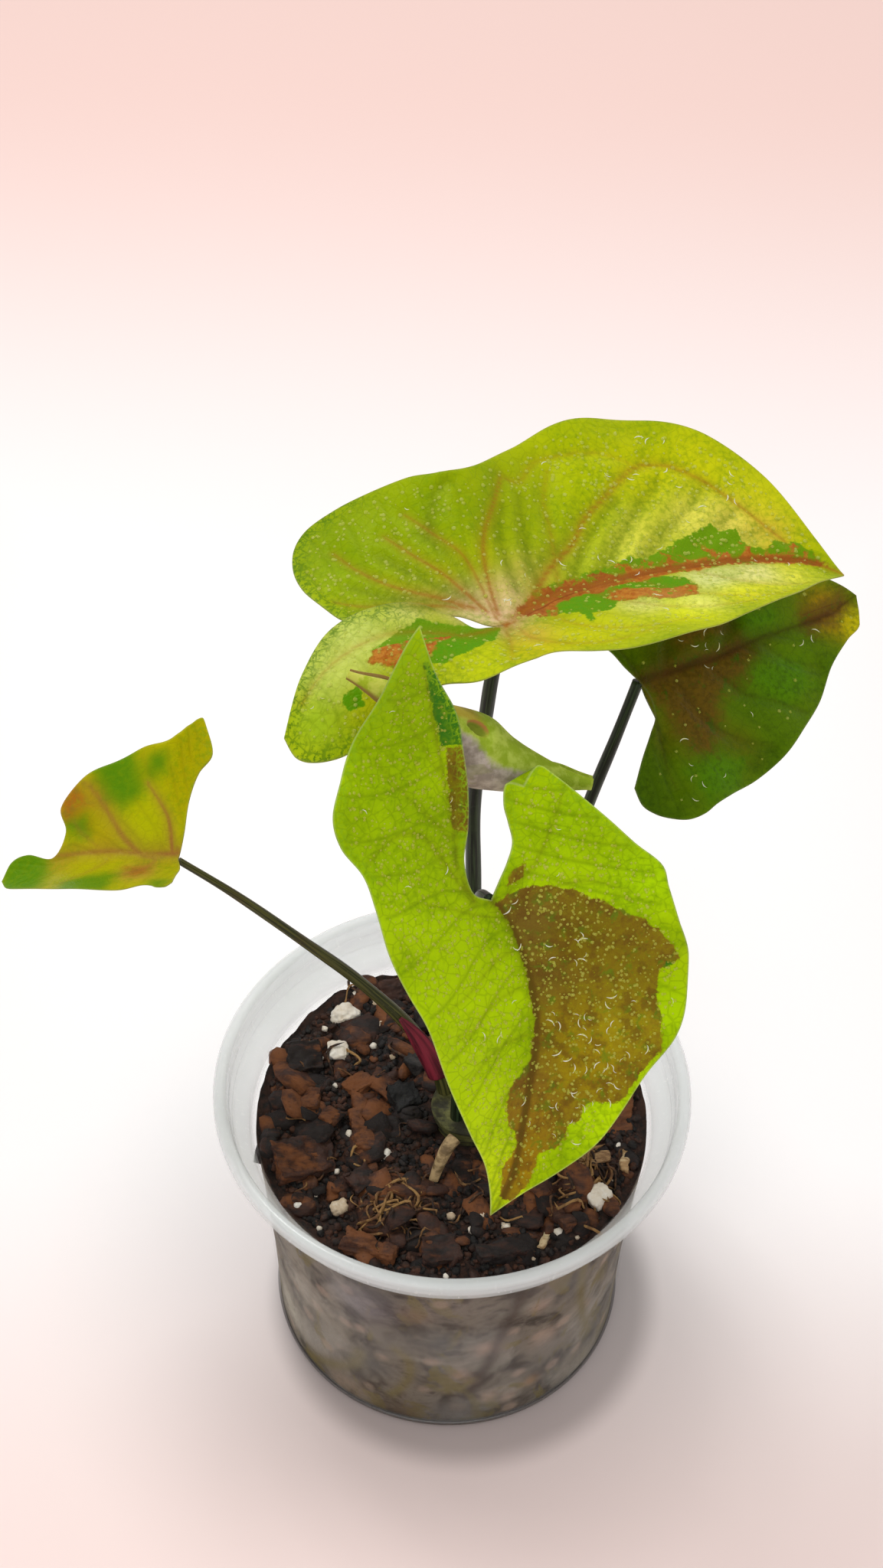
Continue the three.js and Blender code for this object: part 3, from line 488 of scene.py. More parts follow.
@dataclass(frozen=True)
class LeafFinish:
    """The colours of a leaf, with painted shade in its grooves and the hollows beside them. Widths of its
    soft edges are millimetres.
    """

    name: str
    base: str
    bright: str
    shade: str
    vein: str
    groove: str
    sector: str
    sector_dark: str
    fleck: str
    patch: str
    rim: str
    under: str
    vein_share: float = 0.8
    groove_shade_share: float = 0.6
    web_share: float = 0.25
    sector_edge: float = 0.18
    patch_edge: float = 0.18
    ragged: float = 2.4
    fleck_share: float = 0.5
    pale_line: float = 0.3
    roughness: float = 0.38
    gloss: float = 0.09
    hollow_shade_share: float = 0.5
    fleck_rise: float = 0.0
    rib_dark: str = "#5c3418"
    veil_share: float = 0.0
    border_mark: float = 1.0

    def build(self) -> bpy.types.Material:
        """The leaf's material, which reads the fields that the blade's mesh carries.

        Returns:
            The material.
        """
        paint = Paint(self.name)
        plane = paint.plane()
        cloud = paint.noise(plane, 0.1, 3, 0.55)
        mottle = paint.noise(plane, 1.1, 4, 0.6)
        tissue = paint.cells(plane, 2.2)
        net = paint.cells(plane, 0.55, "DISTANCE_TO_EDGE")
        lines = paint.larger(paint.attribute("fine"), paint.ramp(net, 0.0, 0.1, 0.6, 0))
        tone = self.tissue(paint, cloud, mottle)
        tone = paint.mix(paint.times(lines, self.web_share), tone, self.groove)
        # Painted shade: the wide hollows beside the grooves, and then the grooves themselves, are darkened
        # toward the groove colour.
        hollow = paint.times(paint.attribute("hollow"), paint.ramp(mottle, 0.3, 0.6, 0.5, 1))
        tone = paint.mix(paint.times(hollow, self.hollow_shade_share), tone, self.groove)
        groove = paint.times(paint.attribute("groove"), self.groove_shade_share)
        tone = paint.mix(groove, tone, self.groove)
        tone = self.markings(paint, tone, mottle, tissue)
        vein = paint.times(paint.attribute("vein"), paint.ramp(mottle, 0.1, 0.5, 0.7, 1))
        tone = paint.mix(paint.times(vein, self.vein_share), tone, self.vein)
        crackle = paint.ramp(paint.cells(plane, 0.5, "DISTANCE_TO_EDGE"), 0.08, 0.02, 0, 0.7)
        speck = paint.larger(crackle, paint.ramp(paint.noise(plane, 1.6, 4, 0.7), 0.5, 0.6, 0, 0.9))
        border = paint.times(paint.attribute("border"), paint.times(speck, self.border_mark))
        tone = paint.mix(border, tone, self.rim)
        line = paint.ramp(paint.attribute("rim"), 0.3, 0.05, 0, self.pale_line)
        tone = paint.mix(line, tone, "#e4e7b0")
        back = paint.mix(0.62, tone, self.under)
        tone = paint.mix(paint.attribute("upper"), back, tone)
        relief = paint.plus(paint.times(tissue, 0.5), paint.times(mottle, 1.2))
        paint.bump(paint.plus(relief, paint.times(lines, -0.6)), 0.09, 0.8)
        dull = paint.plus(paint.ramp(paint.attribute("upper"), 0, 1, 0.2, 0), self.roughness)
        rough = paint.plus(dull, paint.ramp(mottle, 0.3, 0.7, -0.08, 0.08))
        return paint.finish(tone, rough, Specular_IOR_Level=self.gloss,
                            Specular_Tint=(1.0, 1.0, 0.3, 1.0), Subsurface_Weight=0.1,
                            Subsurface_Radius=(0.8, 1.0, 0.3), Subsurface_Scale=0.0012)

    def tissue(self, paint: Paint, cloud: Socket, mottle: Socket) -> Socket:
        """The leaf's ground colour: clouds of two greens, its tints and a little mottling.

        Args:
            paint: The material in the making.
            cloud: Its broad noise.
            mottle: Its fine noise.

        Returns:
            The colour.
        """
        tone = paint.mix(paint.ramp(cloud, 0.4, 0.6), self.base, self.bright)
        share = paint.times(paint.attribute("tint_share"), paint.ramp(mottle, 0.2, 0.6, 1, 0.75))
        tone = paint.mix(share, tone, paint.colour("tint"))
        dark = paint.times(paint.ramp(mottle, 0.42, 0.72), paint.ramp(cloud, 0.7, 0.4))
        return paint.mix(paint.times(dark, 0.5), tone, self.shade)

    def markings(self, paint: Paint, tone: Socket, mottle: Socket, tissue: Socket) -> Socket:
        """Lays the green patches and then the brown sectors over the ground colour.

        Args:
            paint: The material in the making.
            tone: The ground colour.
            mottle: The fine noise.
            tissue: The cells of the tissue.

        Returns:
            The colour with the markings.
        """
        plane = paint.plane()
        shift = paint.times(paint.math("SUBTRACT", paint.noise(plane, 0.55, 4, 0.7), 0.5), self.ragged)
        patch = paint.ramp(paint.plus(paint.attribute("patch"), shift), -self.patch_edge, self.patch_edge)
        leafy = paint.mix(paint.ramp(mottle, 0.4, 0.7, 0, 0.5), self.patch, self.shade)
        tone = paint.mix(patch, tone, leafy)
        drift = paint.plus(paint.attribute("sector"), shift)
        sector = paint.ramp(drift, -self.sector_edge, self.sector_edge)
        deep = paint.mix(paint.ramp(mottle, 0.35, 0.65), self.sector, self.sector_dark)
        share = paint.times(paint.attribute("deep_share"), paint.ramp(mottle, 0.2, 0.7, 0.7, 1))
        deep = paint.mix(share, deep, paint.colour("deep"))
        veil = paint.ramp(paint.noise(plane, 0.3, 4, 0.65), 0.46, 0.62, 0, self.veil_share)
        deep = paint.mix(veil, deep, self.rib_dark)
        dots = paint.times(paint.ramp(tissue, 0.3, 0.12), paint.ramp(mottle, 0.5, 0.6))
        deep = paint.mix(paint.times(dots, 0.3), deep, self.bright)
        rib = paint.attribute("rib")
        rise = paint.times(paint.larger(rib, 0), self.fleck_rise)
        lace = paint.plus(paint.noise(plane, 0.42, 4, 0.65, 0.4), rise)
        fleck = paint.ramp(lace, 0.54, 0.68, 0, self.fleck_share)
        deep = paint.mix(fleck, deep, self.fleck)
        close = paint.ramp(paint.math("ABSOLUTE", rib), 1.1, 0.2, 0, 0.8)
        deep = paint.mix(close, deep, self.rib_dark)
        return paint.mix(sector, tone, deep)


@dataclass(frozen=True)
class WaterFinish:
    """Water on a leaf: a pale half-clear colour painted over what it lies on stands in for the light the
    water catches, and it shines.
    """

    name: str
    colour: str
    light: str
    cover: float
    roughness: float = 0.28
    gloss: float = 0.12

    def build(self) -> bpy.types.Material:
        """The water's material.

        Returns:
            The material.
        """
        paint = Paint(self.name)
        ripple = paint.noise(paint.place(), 1.5, 1)
        paint.bump(ripple, 0.02, 0.3)
        tone = paint.mix(paint.ramp(ripple, 0.3, 0.7), self.colour, self.light)
        return paint.finish(tone, self.roughness, IOR=1.33, Specular_IOR_Level=self.gloss, Alpha=self.cover)


@dataclass(frozen=True)
class StemFinish:
    """A smooth stem with darker and lighter streaks along it."""

    name: str
    dark: str
    light: str
    flush: str
    roughness: float = 0.3

    def build(self) -> bpy.types.Material:
        """The stem's material, which reads the place along and around the stem.

        Returns:
            The material.
        """
        paint = Paint(self.name)
        streaks = paint.noise(paint.plane(), 1.0, 4, 0.6)
        clouds = paint.noise(paint.place(), 0.12, 3)
        tone = paint.mix(paint.ramp(streaks, 0.4, 0.65), self.dark, self.light)
        tone = paint.mix(paint.ramp(clouds, 0.5, 0.75, 0, 0.5), tone, self.flush)
        specks = paint.ramp(paint.cells(paint.place(), 0.9), 0.22, 0.1, 0, 0.35)
        tone = paint.mix(specks, tone, self.light)
        paint.bump(streaks, 0.1, 0.6)
        return paint.finish(tone, paint.ramp(clouds, 0.3, 0.7, self.roughness, self.roughness + 0.12),
                            Specular_IOR_Level=0.22)


@dataclass(frozen=True)
class CupFinish:
    """Thin milky plastic. It is fuller in the lip than in the wall, and its foot is darkened with painted
    shade.
    """

    name: str = "milky plastic"
    colour: str = "#eaf1f2"
    wall_cover: float = 0.02
    lip_cover: float = 0.36

    def build(self) -> bpy.types.Material:
        """The cup's material.

        Returns:
            The material.
        """
        paint = Paint(self.name)
        cloud = paint.noise(paint.place(), 0.05, 3)
        scuff = paint.noise(paint.place((1, 1, 0.2)), 1.4, 4, 0.7)
        height = paint.node("ShaderNodeSeparateXYZ", {"Vector": paint.place()}).outputs["Z"]
        cover = paint.ramp(height, 54, 59.5, self.wall_cover, self.lip_cover)
        cover = paint.plus(cover, paint.ramp(cloud, 0.35, 0.7, -0.02, 0.04))
        # Painted shade: the bottom 2.6 mm of the cup turns dark brown and nearly opaque, for the dark edge
        # where the cup stands on the floor.
        foot_shade = paint.ramp(height, 2.6, 1.2)
        cover = paint.plus(cover, paint.times(foot_shade, 0.55))
        rim = paint.times(paint.ramp(height, 66.0, 66.8), 0.25)
        cover = paint.plus(cover, rim)
        rough = paint.plus(paint.ramp(scuff, 0.4, 0.7, 0.12, 0.26), 0.04)
        tone = paint.mix(paint.ramp(cloud, 0.3, 0.7), self.colour, "#e6eeee")
        tone = paint.mix(foot_shade, tone, "#4a3c2c")
        paint.bump(scuff, 0.02, 0.4)
        return paint.finish(tone, rough, Alpha=cover, IOR=1.49, Subsurface_Weight=0.6,
                            Subsurface_Radius=(1.0, 1.0, 1.0), Subsurface_Scale=0.004)


@dataclass(frozen=True)
class ChipFinish:
    """Bark, charcoal, perlite or wood: grain, clouds and a tone of its own for each chip."""

    name: str
    dark: str
    mid: str
    light: str
    grain: Point = (1, 1, 1)
    scale: float = 0.5
    relief: float = 0.35
    roughness: float = 0.88
    pits: float = 0.5

    def build(self) -> bpy.types.Material:
        """The chip's material. Each vertex carries the tone of its chip.

        Returns:
            The material.
        """
        paint = Paint(self.name)
        place = paint.place(self.grain)
        grain = paint.noise(place, self.scale, 5, 0.65)
        cloud = paint.noise(paint.place(), self.scale * 0.4, 3)
        pits = paint.cells(paint.place(), self.scale * 2.2)
        part = paint.plus(grain, paint.ramp(paint.attribute("tone"), 0, 1, -0.22, 0.22))
        tone = paint.mix(paint.ramp(part, 0.3, 0.5), self.dark, self.mid)
        tone = paint.mix(paint.ramp(paint.plus(part, cloud), 0.95, 1.3), tone, self.light)
        tone = paint.mix(paint.ramp(pits, 0.22, 0.05, 0, self.pits), tone, self.dark)
        paint.bump(paint.plus(grain, paint.times(pits, 0.5)), self.relief, 0.9)
        return paint.finish(tone, paint.ramp(cloud, 0.3, 0.7, self.roughness - 0.2, self.roughness))


@dataclass(frozen=True)
class MixFinish:
    """Damp crumbly mix. Roots, chips and grains show on its side, where it lies against the wall."""

    name: str = "growing mix"

    def build(self) -> bpy.types.Material:
        """The mix's material.

        Returns:
            The material.
        """
        paint = Paint(self.name)
        place = paint.place()
        clump = paint.noise(place, 0.1, 4, 0.6, 0.6)
        crumb = paint.noise(place, 0.7, 5, 0.7)
        tone = paint.mix(paint.ramp(crumb, 0.35, 0.65), "#120c09", "#3a2116")
        tone = paint.mix(paint.ramp(clump, 0.55, 0.75, 0, 0.7), tone, "#54301d")
        side = paint.attribute("side")
        warped = paint.noise(place, 0.13, 4, 0.6, 0.5)
        wall = paint.mix(paint.ramp(warped, 0.38, 0.6), "#3c342a", "#70675a")
        patchy = paint.noise(place, 0.06, 4, 0.6, 0.5)
        wall = paint.mix(paint.ramp(patchy, 0.5, 0.66, 0, 0.7), wall, "#8f897c")
        olive = paint.noise(paint.place((1, 1, 0.6)), 0.09, 4, 0.6, 1.2)
        wall = paint.mix(paint.ramp(olive, 0.54, 0.62, 0, 0.75), wall, "#6c6030")
        wall = paint.mix(paint.ramp(paint.cells(place, 0.13), 0.3, 0.12, 0, 0.5), wall, "#a8917e")
        share = paint.times(paint.attribute("tint_share"), paint.ramp(warped, 0.3, 0.5, 0.6, 0.95))
        wall = paint.mix(share, wall, paint.colour("tint"))
        wall = paint.mix(paint.attribute("dark_root"), wall, "#3e3026")
        wall = paint.mix(paint.attribute("olive_root"), wall, "#6e6238")
        grit = paint.noise(place, 0.9, 4, 0.7)
        wall = paint.mix(paint.ramp(grit, 0.5, 0.72, 0, 0.35), wall, "#332c25")
        tone = paint.mix(side, tone, wall)
        paint.bump(crumb, 0.6, 0.9)
        return paint.finish(tone, 0.9)


@dataclass(frozen=True)
class FloorFinish:
    """A plain pale floor, whitest under the plant, with a painted shadow round the cup's foot and a painted
    glow that fades out near the cup.
    """

    name: str = "floor"

    def build(self) -> bpy.types.Material:
        """The floor's material.

        Returns:
            The material.
        """
        paint = Paint(self.name)
        spot = paint.node("ShaderNodeSeparateXYZ", {"Vector": paint.place()})
        behind = paint.ramp(spot.outputs["Y"], 150, 500)
        before = paint.ramp(spot.outputs["Y"], 50, -75, 0, 0.7)
        beside = paint.ramp(paint.math("ABSOLUTE", spot.outputs["X"]), 60, 200, 0, 0.45)
        blush = paint.larger(paint.larger(behind, before), beside)
        tone = paint.mix(blush, "#fdfbfb", "#f4d5cd")
        # Painted shadow: a grey-brown ring darkens the floor round the cup's foot, centred a little to the
        # front right.
        foot = paint.node("ShaderNodeVectorMath", {0: paint.place(), 1: (3.5, -4.0, 0.0)},
                          operation="DISTANCE")
        tone = paint.mix(paint.ramp(foot.outputs["Value"], 35, 42, 0.45, 0), tone, "#5c5250")
        # Painted glow: the floor's emission lifts it to white away from the cup and fades to none within 38
        # mm of the middle, so the floor round the cup stays darker.
        far = paint.node("ShaderNodeVectorMath", {"Vector": paint.place((1, 1, 0))}, operation="LENGTH")
        painted_glow = paint.mix(paint.ramp(far.outputs["Value"], 38, 90), (0, 0, 0, 1), tone)
        return paint.finish(tone, 0.75, Specular_IOR_Level=0.1, Emission_Color=painted_glow, Emission_Strength=0.14)


class Side(Enum):
    """The two halves of a blade, looking from the petiole to the tip with the upper face up."""

    LEFT = 0
    RIGHT = 1


@dataclass(frozen=True)
class Vein:
    """A vein's course over the blade's plane and its width where it starts and ends."""

    course: tuple[Point, ...]
    start: float = 0.55
    end: float = 0.25
    strength: float = 1.0


@dataclass(frozen=True)
class BladeShape:
    """A blade's outline and its curvature, as its solid has them."""

    origin: Point
    along: Point
    up: Point
    length: float
    tip_shift: float
    midrib_bow: float
    fold_width: float
    fold: Point
    lobe_fold: Point
    lobe_reach: float
    lobe_lift: Point
    droop: float
    lobe_droop: Point
    wave: float
    wave_length: float
    wave_phase: Point
    margin: tuple
    lobe: tuple
    sinus: tuple
    stations: Point = (1, 0.93, 0.82, 0.7, 0.58, 0.46, 0.34, 0.23, 0.13, 0.05, 0)
    border_power: float = 0.85

    def axes(self) -> tuple[np.ndarray, np.ndarray, np.ndarray]:
        """The directions along the midrib, across it and up from the blade.

        Returns:
            Three unit vectors.
        """
        along = unit(self.along)
        up = np.asarray(self.up, float)
        up = unit(up - along * (up @ along))
        return along, np.cross(up, along), up

    def midrib(self, u: np.ndarray) -> np.ndarray:
        """How far the midrib runs beside the straight line from the petiole."""
        part = np.clip(u / self.length, 0, 1)
        return self.midrib_bow * 4 * part * (1 - part) + self.tip_shift * part

    def height(self, side: Side, u: np.ndarray, v: np.ndarray) -> np.ndarray:
        """How high the upper face lies over the blade's own plane.

        Args:
            side: The half of the blade.
            u: Places along the blade.
            v: Places across it.

        Returns:
            The heights.
        """
        half = side.value
        sign = 1 if side is Side.LEFT else -1
        outward = np.maximum(sign * (v - self.midrib(u)), 0)
        lobe = smoothstep(0, 1, -u / self.lobe_reach)
        slope = self.fold[half] + (self.lobe_fold[half] - self.fold[half]) * lobe
        rise = slope * (np.hypot(outward, self.fold_width) - self.fold_width)
        ahead = np.maximum(u, 0)
        behind = np.maximum(-u, 0)
        reach = np.minimum(outward / 20, 1.3)
        phase = 2 * np.pi * u / self.wave_length + self.wave_phase[half]
        droop = self.droop * ahead**2 + self.lobe_droop[half] * behind**2
        return rise - droop + self.lobe_lift[half] * lobe + self.wave * reach**2 * np.sin(phase)

    def side_grid(self, side: Side, steps: int, columns: int) -> np.ndarray:
        """Plane places of one half, from the tip back to the end of its lobe.

        Args:
            side: The half of the blade.
            steps: Rows between two stations of the outline.
            columns: Columns from the midrib to the margin.

        Returns:
            An array of rows, columns and u and v.
        """
        half = side.value
        tip = (self.length, self.tip_shift)
        edge = through_stations([tip, *self.margin[half], *self.lobe[half]], steps)
        rib = np.concatenate([self.length * (first + (second - first) * np.arange(steps) / steps)
                              for first, second in zip(self.stations[:-1], self.stations[1:])])
        sinus = through_stations([(0, 0), *self.sinus[half], self.lobe[half][-1]], steps)
        inner = np.vstack([np.column_stack([rib, self.midrib(rib)]), sinus])
        part = (np.arange(columns + 1) / columns) ** self.border_power
        return inner[:, None, :] + (edge - inner)[:, None, :] * part[None, :, None]

    def outline(self, steps: int = 6) -> np.ndarray:
        """The blade's whole edge as one polyline of plane places.

        Args:
            steps: How many steps lie between two stations.

        Returns:
            The polyline.
        """
        lines = []
        for side in Side:
            half = side.value
            tip = (self.length, self.tip_shift)
            edge = through_stations([tip, *self.margin[half], *self.lobe[half]], steps)
            back = through_stations([(0, 0), *self.sinus[half], self.lobe[half][-1]], steps)[::-1]
            lines.append(np.vstack([edge, back[1:]]))
        return np.vstack([lines[0], lines[1][::-1]])

    def under_origin(self, below: float) -> np.ndarray:
        """The place straight under the petiole's joint with the blade."""
        return np.asarray(self.origin, float) - self.axes()[2] * below


STREAK_SIZE = (0.4, 1.0)


@dataclass
class Blade:
    """An open leaf's blade: its fine mesh, its veins and patches, and its drops."""

    name: str
    node: str
    slot: str
    shape: BladeShape
    finish: LeafFinish
    veins: tuple[Vein, ...]
    grooves: tuple = ()
    sectors: tuple = ()
    patches: tuple = ()
    tints: tuple = ()
    deep_tints: tuple = ()
    wet_spots: tuple = ()
    laterals: int = 13
    border: Point = (0, -12)
    border_width: float = 1.6
    quilt: float = 0.28
    puff: float = 2.6
    dew: Optional[WaterFinish] = None
    drops: float = 0
    drop_size: Point = (0.16, 0.4)
    water_glint: Optional[WaterFinish] = None
    streaks: float = 0
    steps: int = 14
    columns: int = 46
    seed: int = 1

    def lateral_lines(self, grid: np.ndarray) -> list[np.ndarray]:
        """Fine veins that leave the midrib by rule and bend toward the tip.

        Args:
            grid: Plane places of one half, by rows and columns.

        Returns:
            The veins' polylines.
        """
        rows, columns = grid.shape[:2]
        lines = []
        for index in range(self.laterals):
            start = (index + 0.6) / self.laterals * (rows - 1)
            parts = np.linspace(0.03, 0.92, 24)
            bend = 0.13 * rows * np.sin(parts * 1.45) * min(1, start / (0.2 * rows))
            row = np.clip(start - bend, 0, rows - 1)
            column = parts * (columns - 1)
            r0, c0 = row.astype(int), column.astype(int)
            r1, c1 = np.minimum(r0 + 1, rows - 1), np.minimum(c0 + 1, columns - 1)
            fr, fc = (row - r0)[:, None], (column - c0)[:, None]
            low = grid[r0, c0] * (1 - fc) + grid[r0, c1] * fc
            high = grid[r1, c0] * (1 - fc) + grid[r1, c1] * fc
            lines.append(low * (1 - fr) + high * fr)
        return lines

    def fields(self, places: np.ndarray, fine_lines: list[np.ndarray]) -> dict[str, np.ndarray]:
        """What the material reads at each plane place.

        Args:
            places: One row of u and v for each place.
            fine_lines: The polylines of the fine veins.

        Returns:
            The fields by name.
        """
        vein, furrow = self.line_field(places, self.veins)
        groove, crease = self.line_field(places, self.grooves)
        fine = np.zeros(len(places))
        for course in fine_lines:
            fine = np.maximum(fine, np.exp(-((line_distance(places, course) / 0.3) ** 2)))
        rim = line_distance(places, self.shape.outline())
        nothing = np.full(len(places), -9.0)
        sector, patch = nothing, nothing
        for outline in self.sectors:
            sector = np.maximum(sector, inside_distance(places, outline))
        for outline in self.patches:
            patch = np.maximum(patch, inside_distance(places, outline))
        # Wide soft bands along the grooves, which the leaf's material darkens as painted shade.
        hollows = tuple(Vein(line.course, 3.2 * line.start, 3.2 * line.end, line.strength)
                        for line in self.grooves)
        hollow = 0.8 * self.line_field(places, hollows, 0)[0]
        beside = places[:, 1] - self.shape.midrib(places[:, 0])
        rib = np.copysign(line_distance(places, through_stations(self.veins[0].course, 6)), beside)
        border = np.exp(-((rim / self.border_width) ** 2))
        border *= smoothstep(0, 1, (places[:, 0] - self.border[0]) / (self.border[1] - self.border[0]))
        tint, tint_share = tint_field(places, self.tints)
        deep, deep_share = tint_field(places, self.deep_tints)
        return {"vein": vein, "groove": groove, "fine": fine, "rim": rim, "sector": sector, "patch": patch,
                "border": border, "furrow": np.minimum(furrow, crease), "tint": tint,
                "tint_share": tint_share, "deep": deep, "deep_share": deep_share, "hollow": hollow,
                "rib": rib}

    def line_field(self, places: np.ndarray, lines: tuple[Vein, ...],
                   halo: float = 0.45) -> tuple[np.ndarray, np.ndarray]:
        """How strongly lines show at each place, and how far the nearest one is.

        Args:
            places: One row of u and v for each place.
            lines: The veins or grooves.
            halo: How strong the soft stain beside a line is.

        Returns:
            The strength and the distance.
        """
        shown = np.zeros(len(places))
        nearest = np.full(len(places), 9.0)
        for line in lines:
            course = through_stations(line.course, 6)
            gap = line_distance(places, course)
            first, last = course[0], course[-1]
            whole = max(np.linalg.norm(last - first), 1)
            part = np.clip(np.linalg.norm(places - first, axis=1) / whole, 0, 1)
            width = line.start + (line.end - line.start) * part
            stain = np.maximum(np.exp(-((gap / width) ** 2)), halo * np.exp(-((gap / (2.6 * width)) ** 2)))
            shown = np.maximum(shown, line.strength * stain * (1 - 0.35 * part))
            nearest = np.minimum(nearest, gap)
        return shown, nearest

    def mesh(self) -> bpy.types.Object:
        """The closed blade, its upper face quilted between the veins.

        Returns:
            The blade, without its material.
        """
        along, across, up = self.shape.axes()
        origin = np.asarray(self.shape.origin, float)
        points, faces, layers = [], [], []
        start = 0
        for side in Side:
            grid = self.shape.side_grid(side, self.steps, self.columns)
            rows, columns = grid.shape[:2]
            places = grid.reshape(-1, 2)
            fields = self.fields(places, self.lateral_lines(grid))
            height = self.shape.height(side, places[:, 0], places[:, 1])
            inward = smoothstep(0, 1, fields["rim"] / 2.5)
            ridge = self.quilt * (smoothstep(0, 1, fields["furrow"] / self.puff) - 1) - 0.06 * fields["fine"]
            height = height + ridge * inward
            thick = 0.26 + 0.28 * smoothstep(0, 1, fields["rim"] / 2.2)
            base = origin + np.outer(places[:, 0], along) + np.outer(places[:, 1], across)
            for level, upper in ((height, 1.0), (height - thick, 0.0)):
                points.append(base + np.outer(level, up))
                face = np.full(len(places), upper)
                layers.append({**fields, "plane": np.column_stack([places, 3.0 * face]), "upper": face})
            mirrored = side is Side.RIGHT
            faces += grid_faces(rows, columns, start, flip=mirrored)
            faces += grid_faces(rows, columns, start + rows * columns, flip=not mirrored)
            faces += self.edge_faces(rows, columns, start, mirrored)
            start += 2 * rows * columns
        merged = {key: np.concatenate([layer[key] for layer in layers]) for key in layers[0]}
        low, high = (np.array(corner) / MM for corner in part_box(self.node))
        return make_mesh(self.name, np.clip(np.vstack(points), low, high), faces, merged)

    def edge_faces(self, rows: int, columns: int, start: int, mirrored: bool) -> Faces:
        """The thin walls along the margin and along the sinus.

        Args:
            rows: Rows of vertices in this half.
            columns: Columns of vertices.
            start: The half's first vertex.
            mirrored: Whether this half is turned over.

        Returns:
            The vertex numbers of each quad.
        """
        lower = rows * columns
        rib_rows = (len(self.shape.stations) - 1) * self.steps
        faces = []
        for row in range(rows - 1):
            edge = start + row * columns + columns - 1
            faces.append((edge, edge + lower, edge + lower + columns, edge + columns))
            if row >= rib_rows:
                inner = start + row * columns
                faces.append((inner, inner + columns, inner + lower + columns, inner + lower))
        return [face[::-1] for face in faces] if mirrored else faces

    def build(self) -> None:
        """Builds the blade and the water on it and seats them."""
        piece = self.mesh()
        piece.data.materials.append(self.finish.build())
        if self.dew:
            dew = Scatter(f"{self.name}_dew", [drop_form()], self.drops, self.drop_size, self.seed, "dewy",
                          self.dew.build())
            seat(dew.build(self.dewy(piece)), self.slot, [])
        if self.water_glint:
            water_glint = Scatter(f"{self.name}_wet_streaks", [streak_form()], self.streaks, STREAK_SIZE,
                           self.seed + 7, "wet", self.water_glint.build())
            seat(water_glint.build(self.dewy(piece)), self.slot, [])
        seat(piece, self.slot, [self.node])

    def dewy(self, piece: bpy.types.Object) -> bpy.types.Object:
        """A copy of the blade that carries where drops and streaks of water may lie.

        Args:
            piece: The blade.

        Returns:
            The copy, with the fields dewy and wet.
        """
        copy = shown(f"{self.name}_ground", piece.data.copy())
        count = len(copy.data.vertices)
        read = {}
        for key in ("upper", "rim"):
            read[key] = np.zeros(count, np.float32)
            copy.data.attributes[key].data.foreach_get("value", read[key])
        flat = np.zeros(3 * count, np.float32)
        copy.data.attributes["plane"].data.foreach_get("vector", flat)
        places = flat.reshape(-1, 3)[:, :2]
        wet = np.full(count, 0.03)
        for (u, v), reach in self.wet_spots:
            wet = np.maximum(wet, np.exp(-((np.hypot(places[:, 0] - u, places[:, 1] - v) / reach) ** 2)))
        dewy = read["upper"] * (read["rim"] > 1.7)
        wet *= read["upper"] * (read["rim"] > 2.2)
        for key, values in (("dewy", dewy), ("wet", wet)):
            field = copy.data.attributes.new(key, "FLOAT", "POINT")
            field.data.foreach_set("value", values.astype(np.float32))
        return copy


def tint_field(places: np.ndarray, tints: Sequence) -> tuple[np.ndarray, np.ndarray]:
    """The blended colour of soft round tints at each place, and how much of it shows.

    Args:
        places: One row of u and v for each place.
        tints: For each tint its middle, its reach, its colour and its strength.

    Returns:
        The linear colours and the shares.
    """
    mixed = np.zeros((len(places), 3))
    weight = np.full(len(places), 1e-9)
    bare = np.ones(len(places))
    for (u, v), reach, colour, strength in tints:
        part = np.exp(-((np.hypot(places[:, 0] - u, places[:, 1] - v) / reach) ** 2))
        mixed += part[:, None] ** 1.5 * np.array(srgb(colour)[:3])
        weight += part**1.5
        bare *= 1 - strength * part
    return mixed / weight[:, None], 1 - bare


def drop_form() -> bpy.types.Object:
    """A flat dome of water, one millimetre in radius, standing on the plane.

    Returns:
        The form.
    """
    rings, sides, sunk = 3, 9, -0.12
    points = [(0, 0, 0.62)]
    for ring in range(1, rings + 1):
        angle = math.pi / 2 * ring / rings
        radius, height = math.sin(angle), 0.62 * math.cos(angle)
        turns = [2 * math.pi * side / sides for side in range(sides)]
        points += [(radius * math.cos(turn), radius * math.sin(turn), height if ring < rings else sunk)
                   for turn in turns]
    points.append((0, 0, sunk))
    return fan_solid("drop_form", points, rings, sides)


def streak_form() -> bpy.types.Object:
    """A short curled ridge of water, two millimetres long, that lies on the plane.

    Returns:
        The form.
    """
    rings, sides = 9, 8
    points = [(-1.0, 0, 0)]
    for ring in range(1, rings + 1):
        part = ring / (rings + 1)
        x = 2 * part - 1
        middle = np.array([x, 0.55 * math.sin(2.6 * part + 0.3), 0.0])
        thick = 0.12 * math.sin(math.pi * part) ** 0.6
        for side in range(sides):
            angle = 2 * math.pi * side / sides
            offset = np.array([0, thick * math.cos(angle), 0.8 * thick * math.sin(angle)])
            points.append(tuple(middle + offset))
    points.append((1.0, 0.55 * math.sin(2.9), 0))
    return fan_solid("streak_form", points, rings, sides)


def fan_solid(name: str, points: list, rings: int, sides: int) -> bpy.types.Object:
    """A closed form from a first point, rings of points and a last point.

    Args:
        name: The object's name.
        points: The first point, each ring's points in turn, and the last point.
        rings: How many rings there are.
        sides: How many points each ring has.

    Returns:
        The form, which is taken away once it has been scattered.
    """
    faces = []
    last = len(points) - 1
    for side in range(sides):
        after = (side + 1) % sides
        faces.append((0, 1 + side, 1 + after))
        for ring in range(rings - 1):
            a, b = 1 + ring * sides + side, 1 + ring * sides + after
            faces.append((a, a + sides, b + sides, b))
        end = 1 + (rings - 1) * sides
        faces.append((end + side, last, end + after))
    form = make_mesh(name, np.asarray(points, float), faces)
    turn_outward(form)
    return form


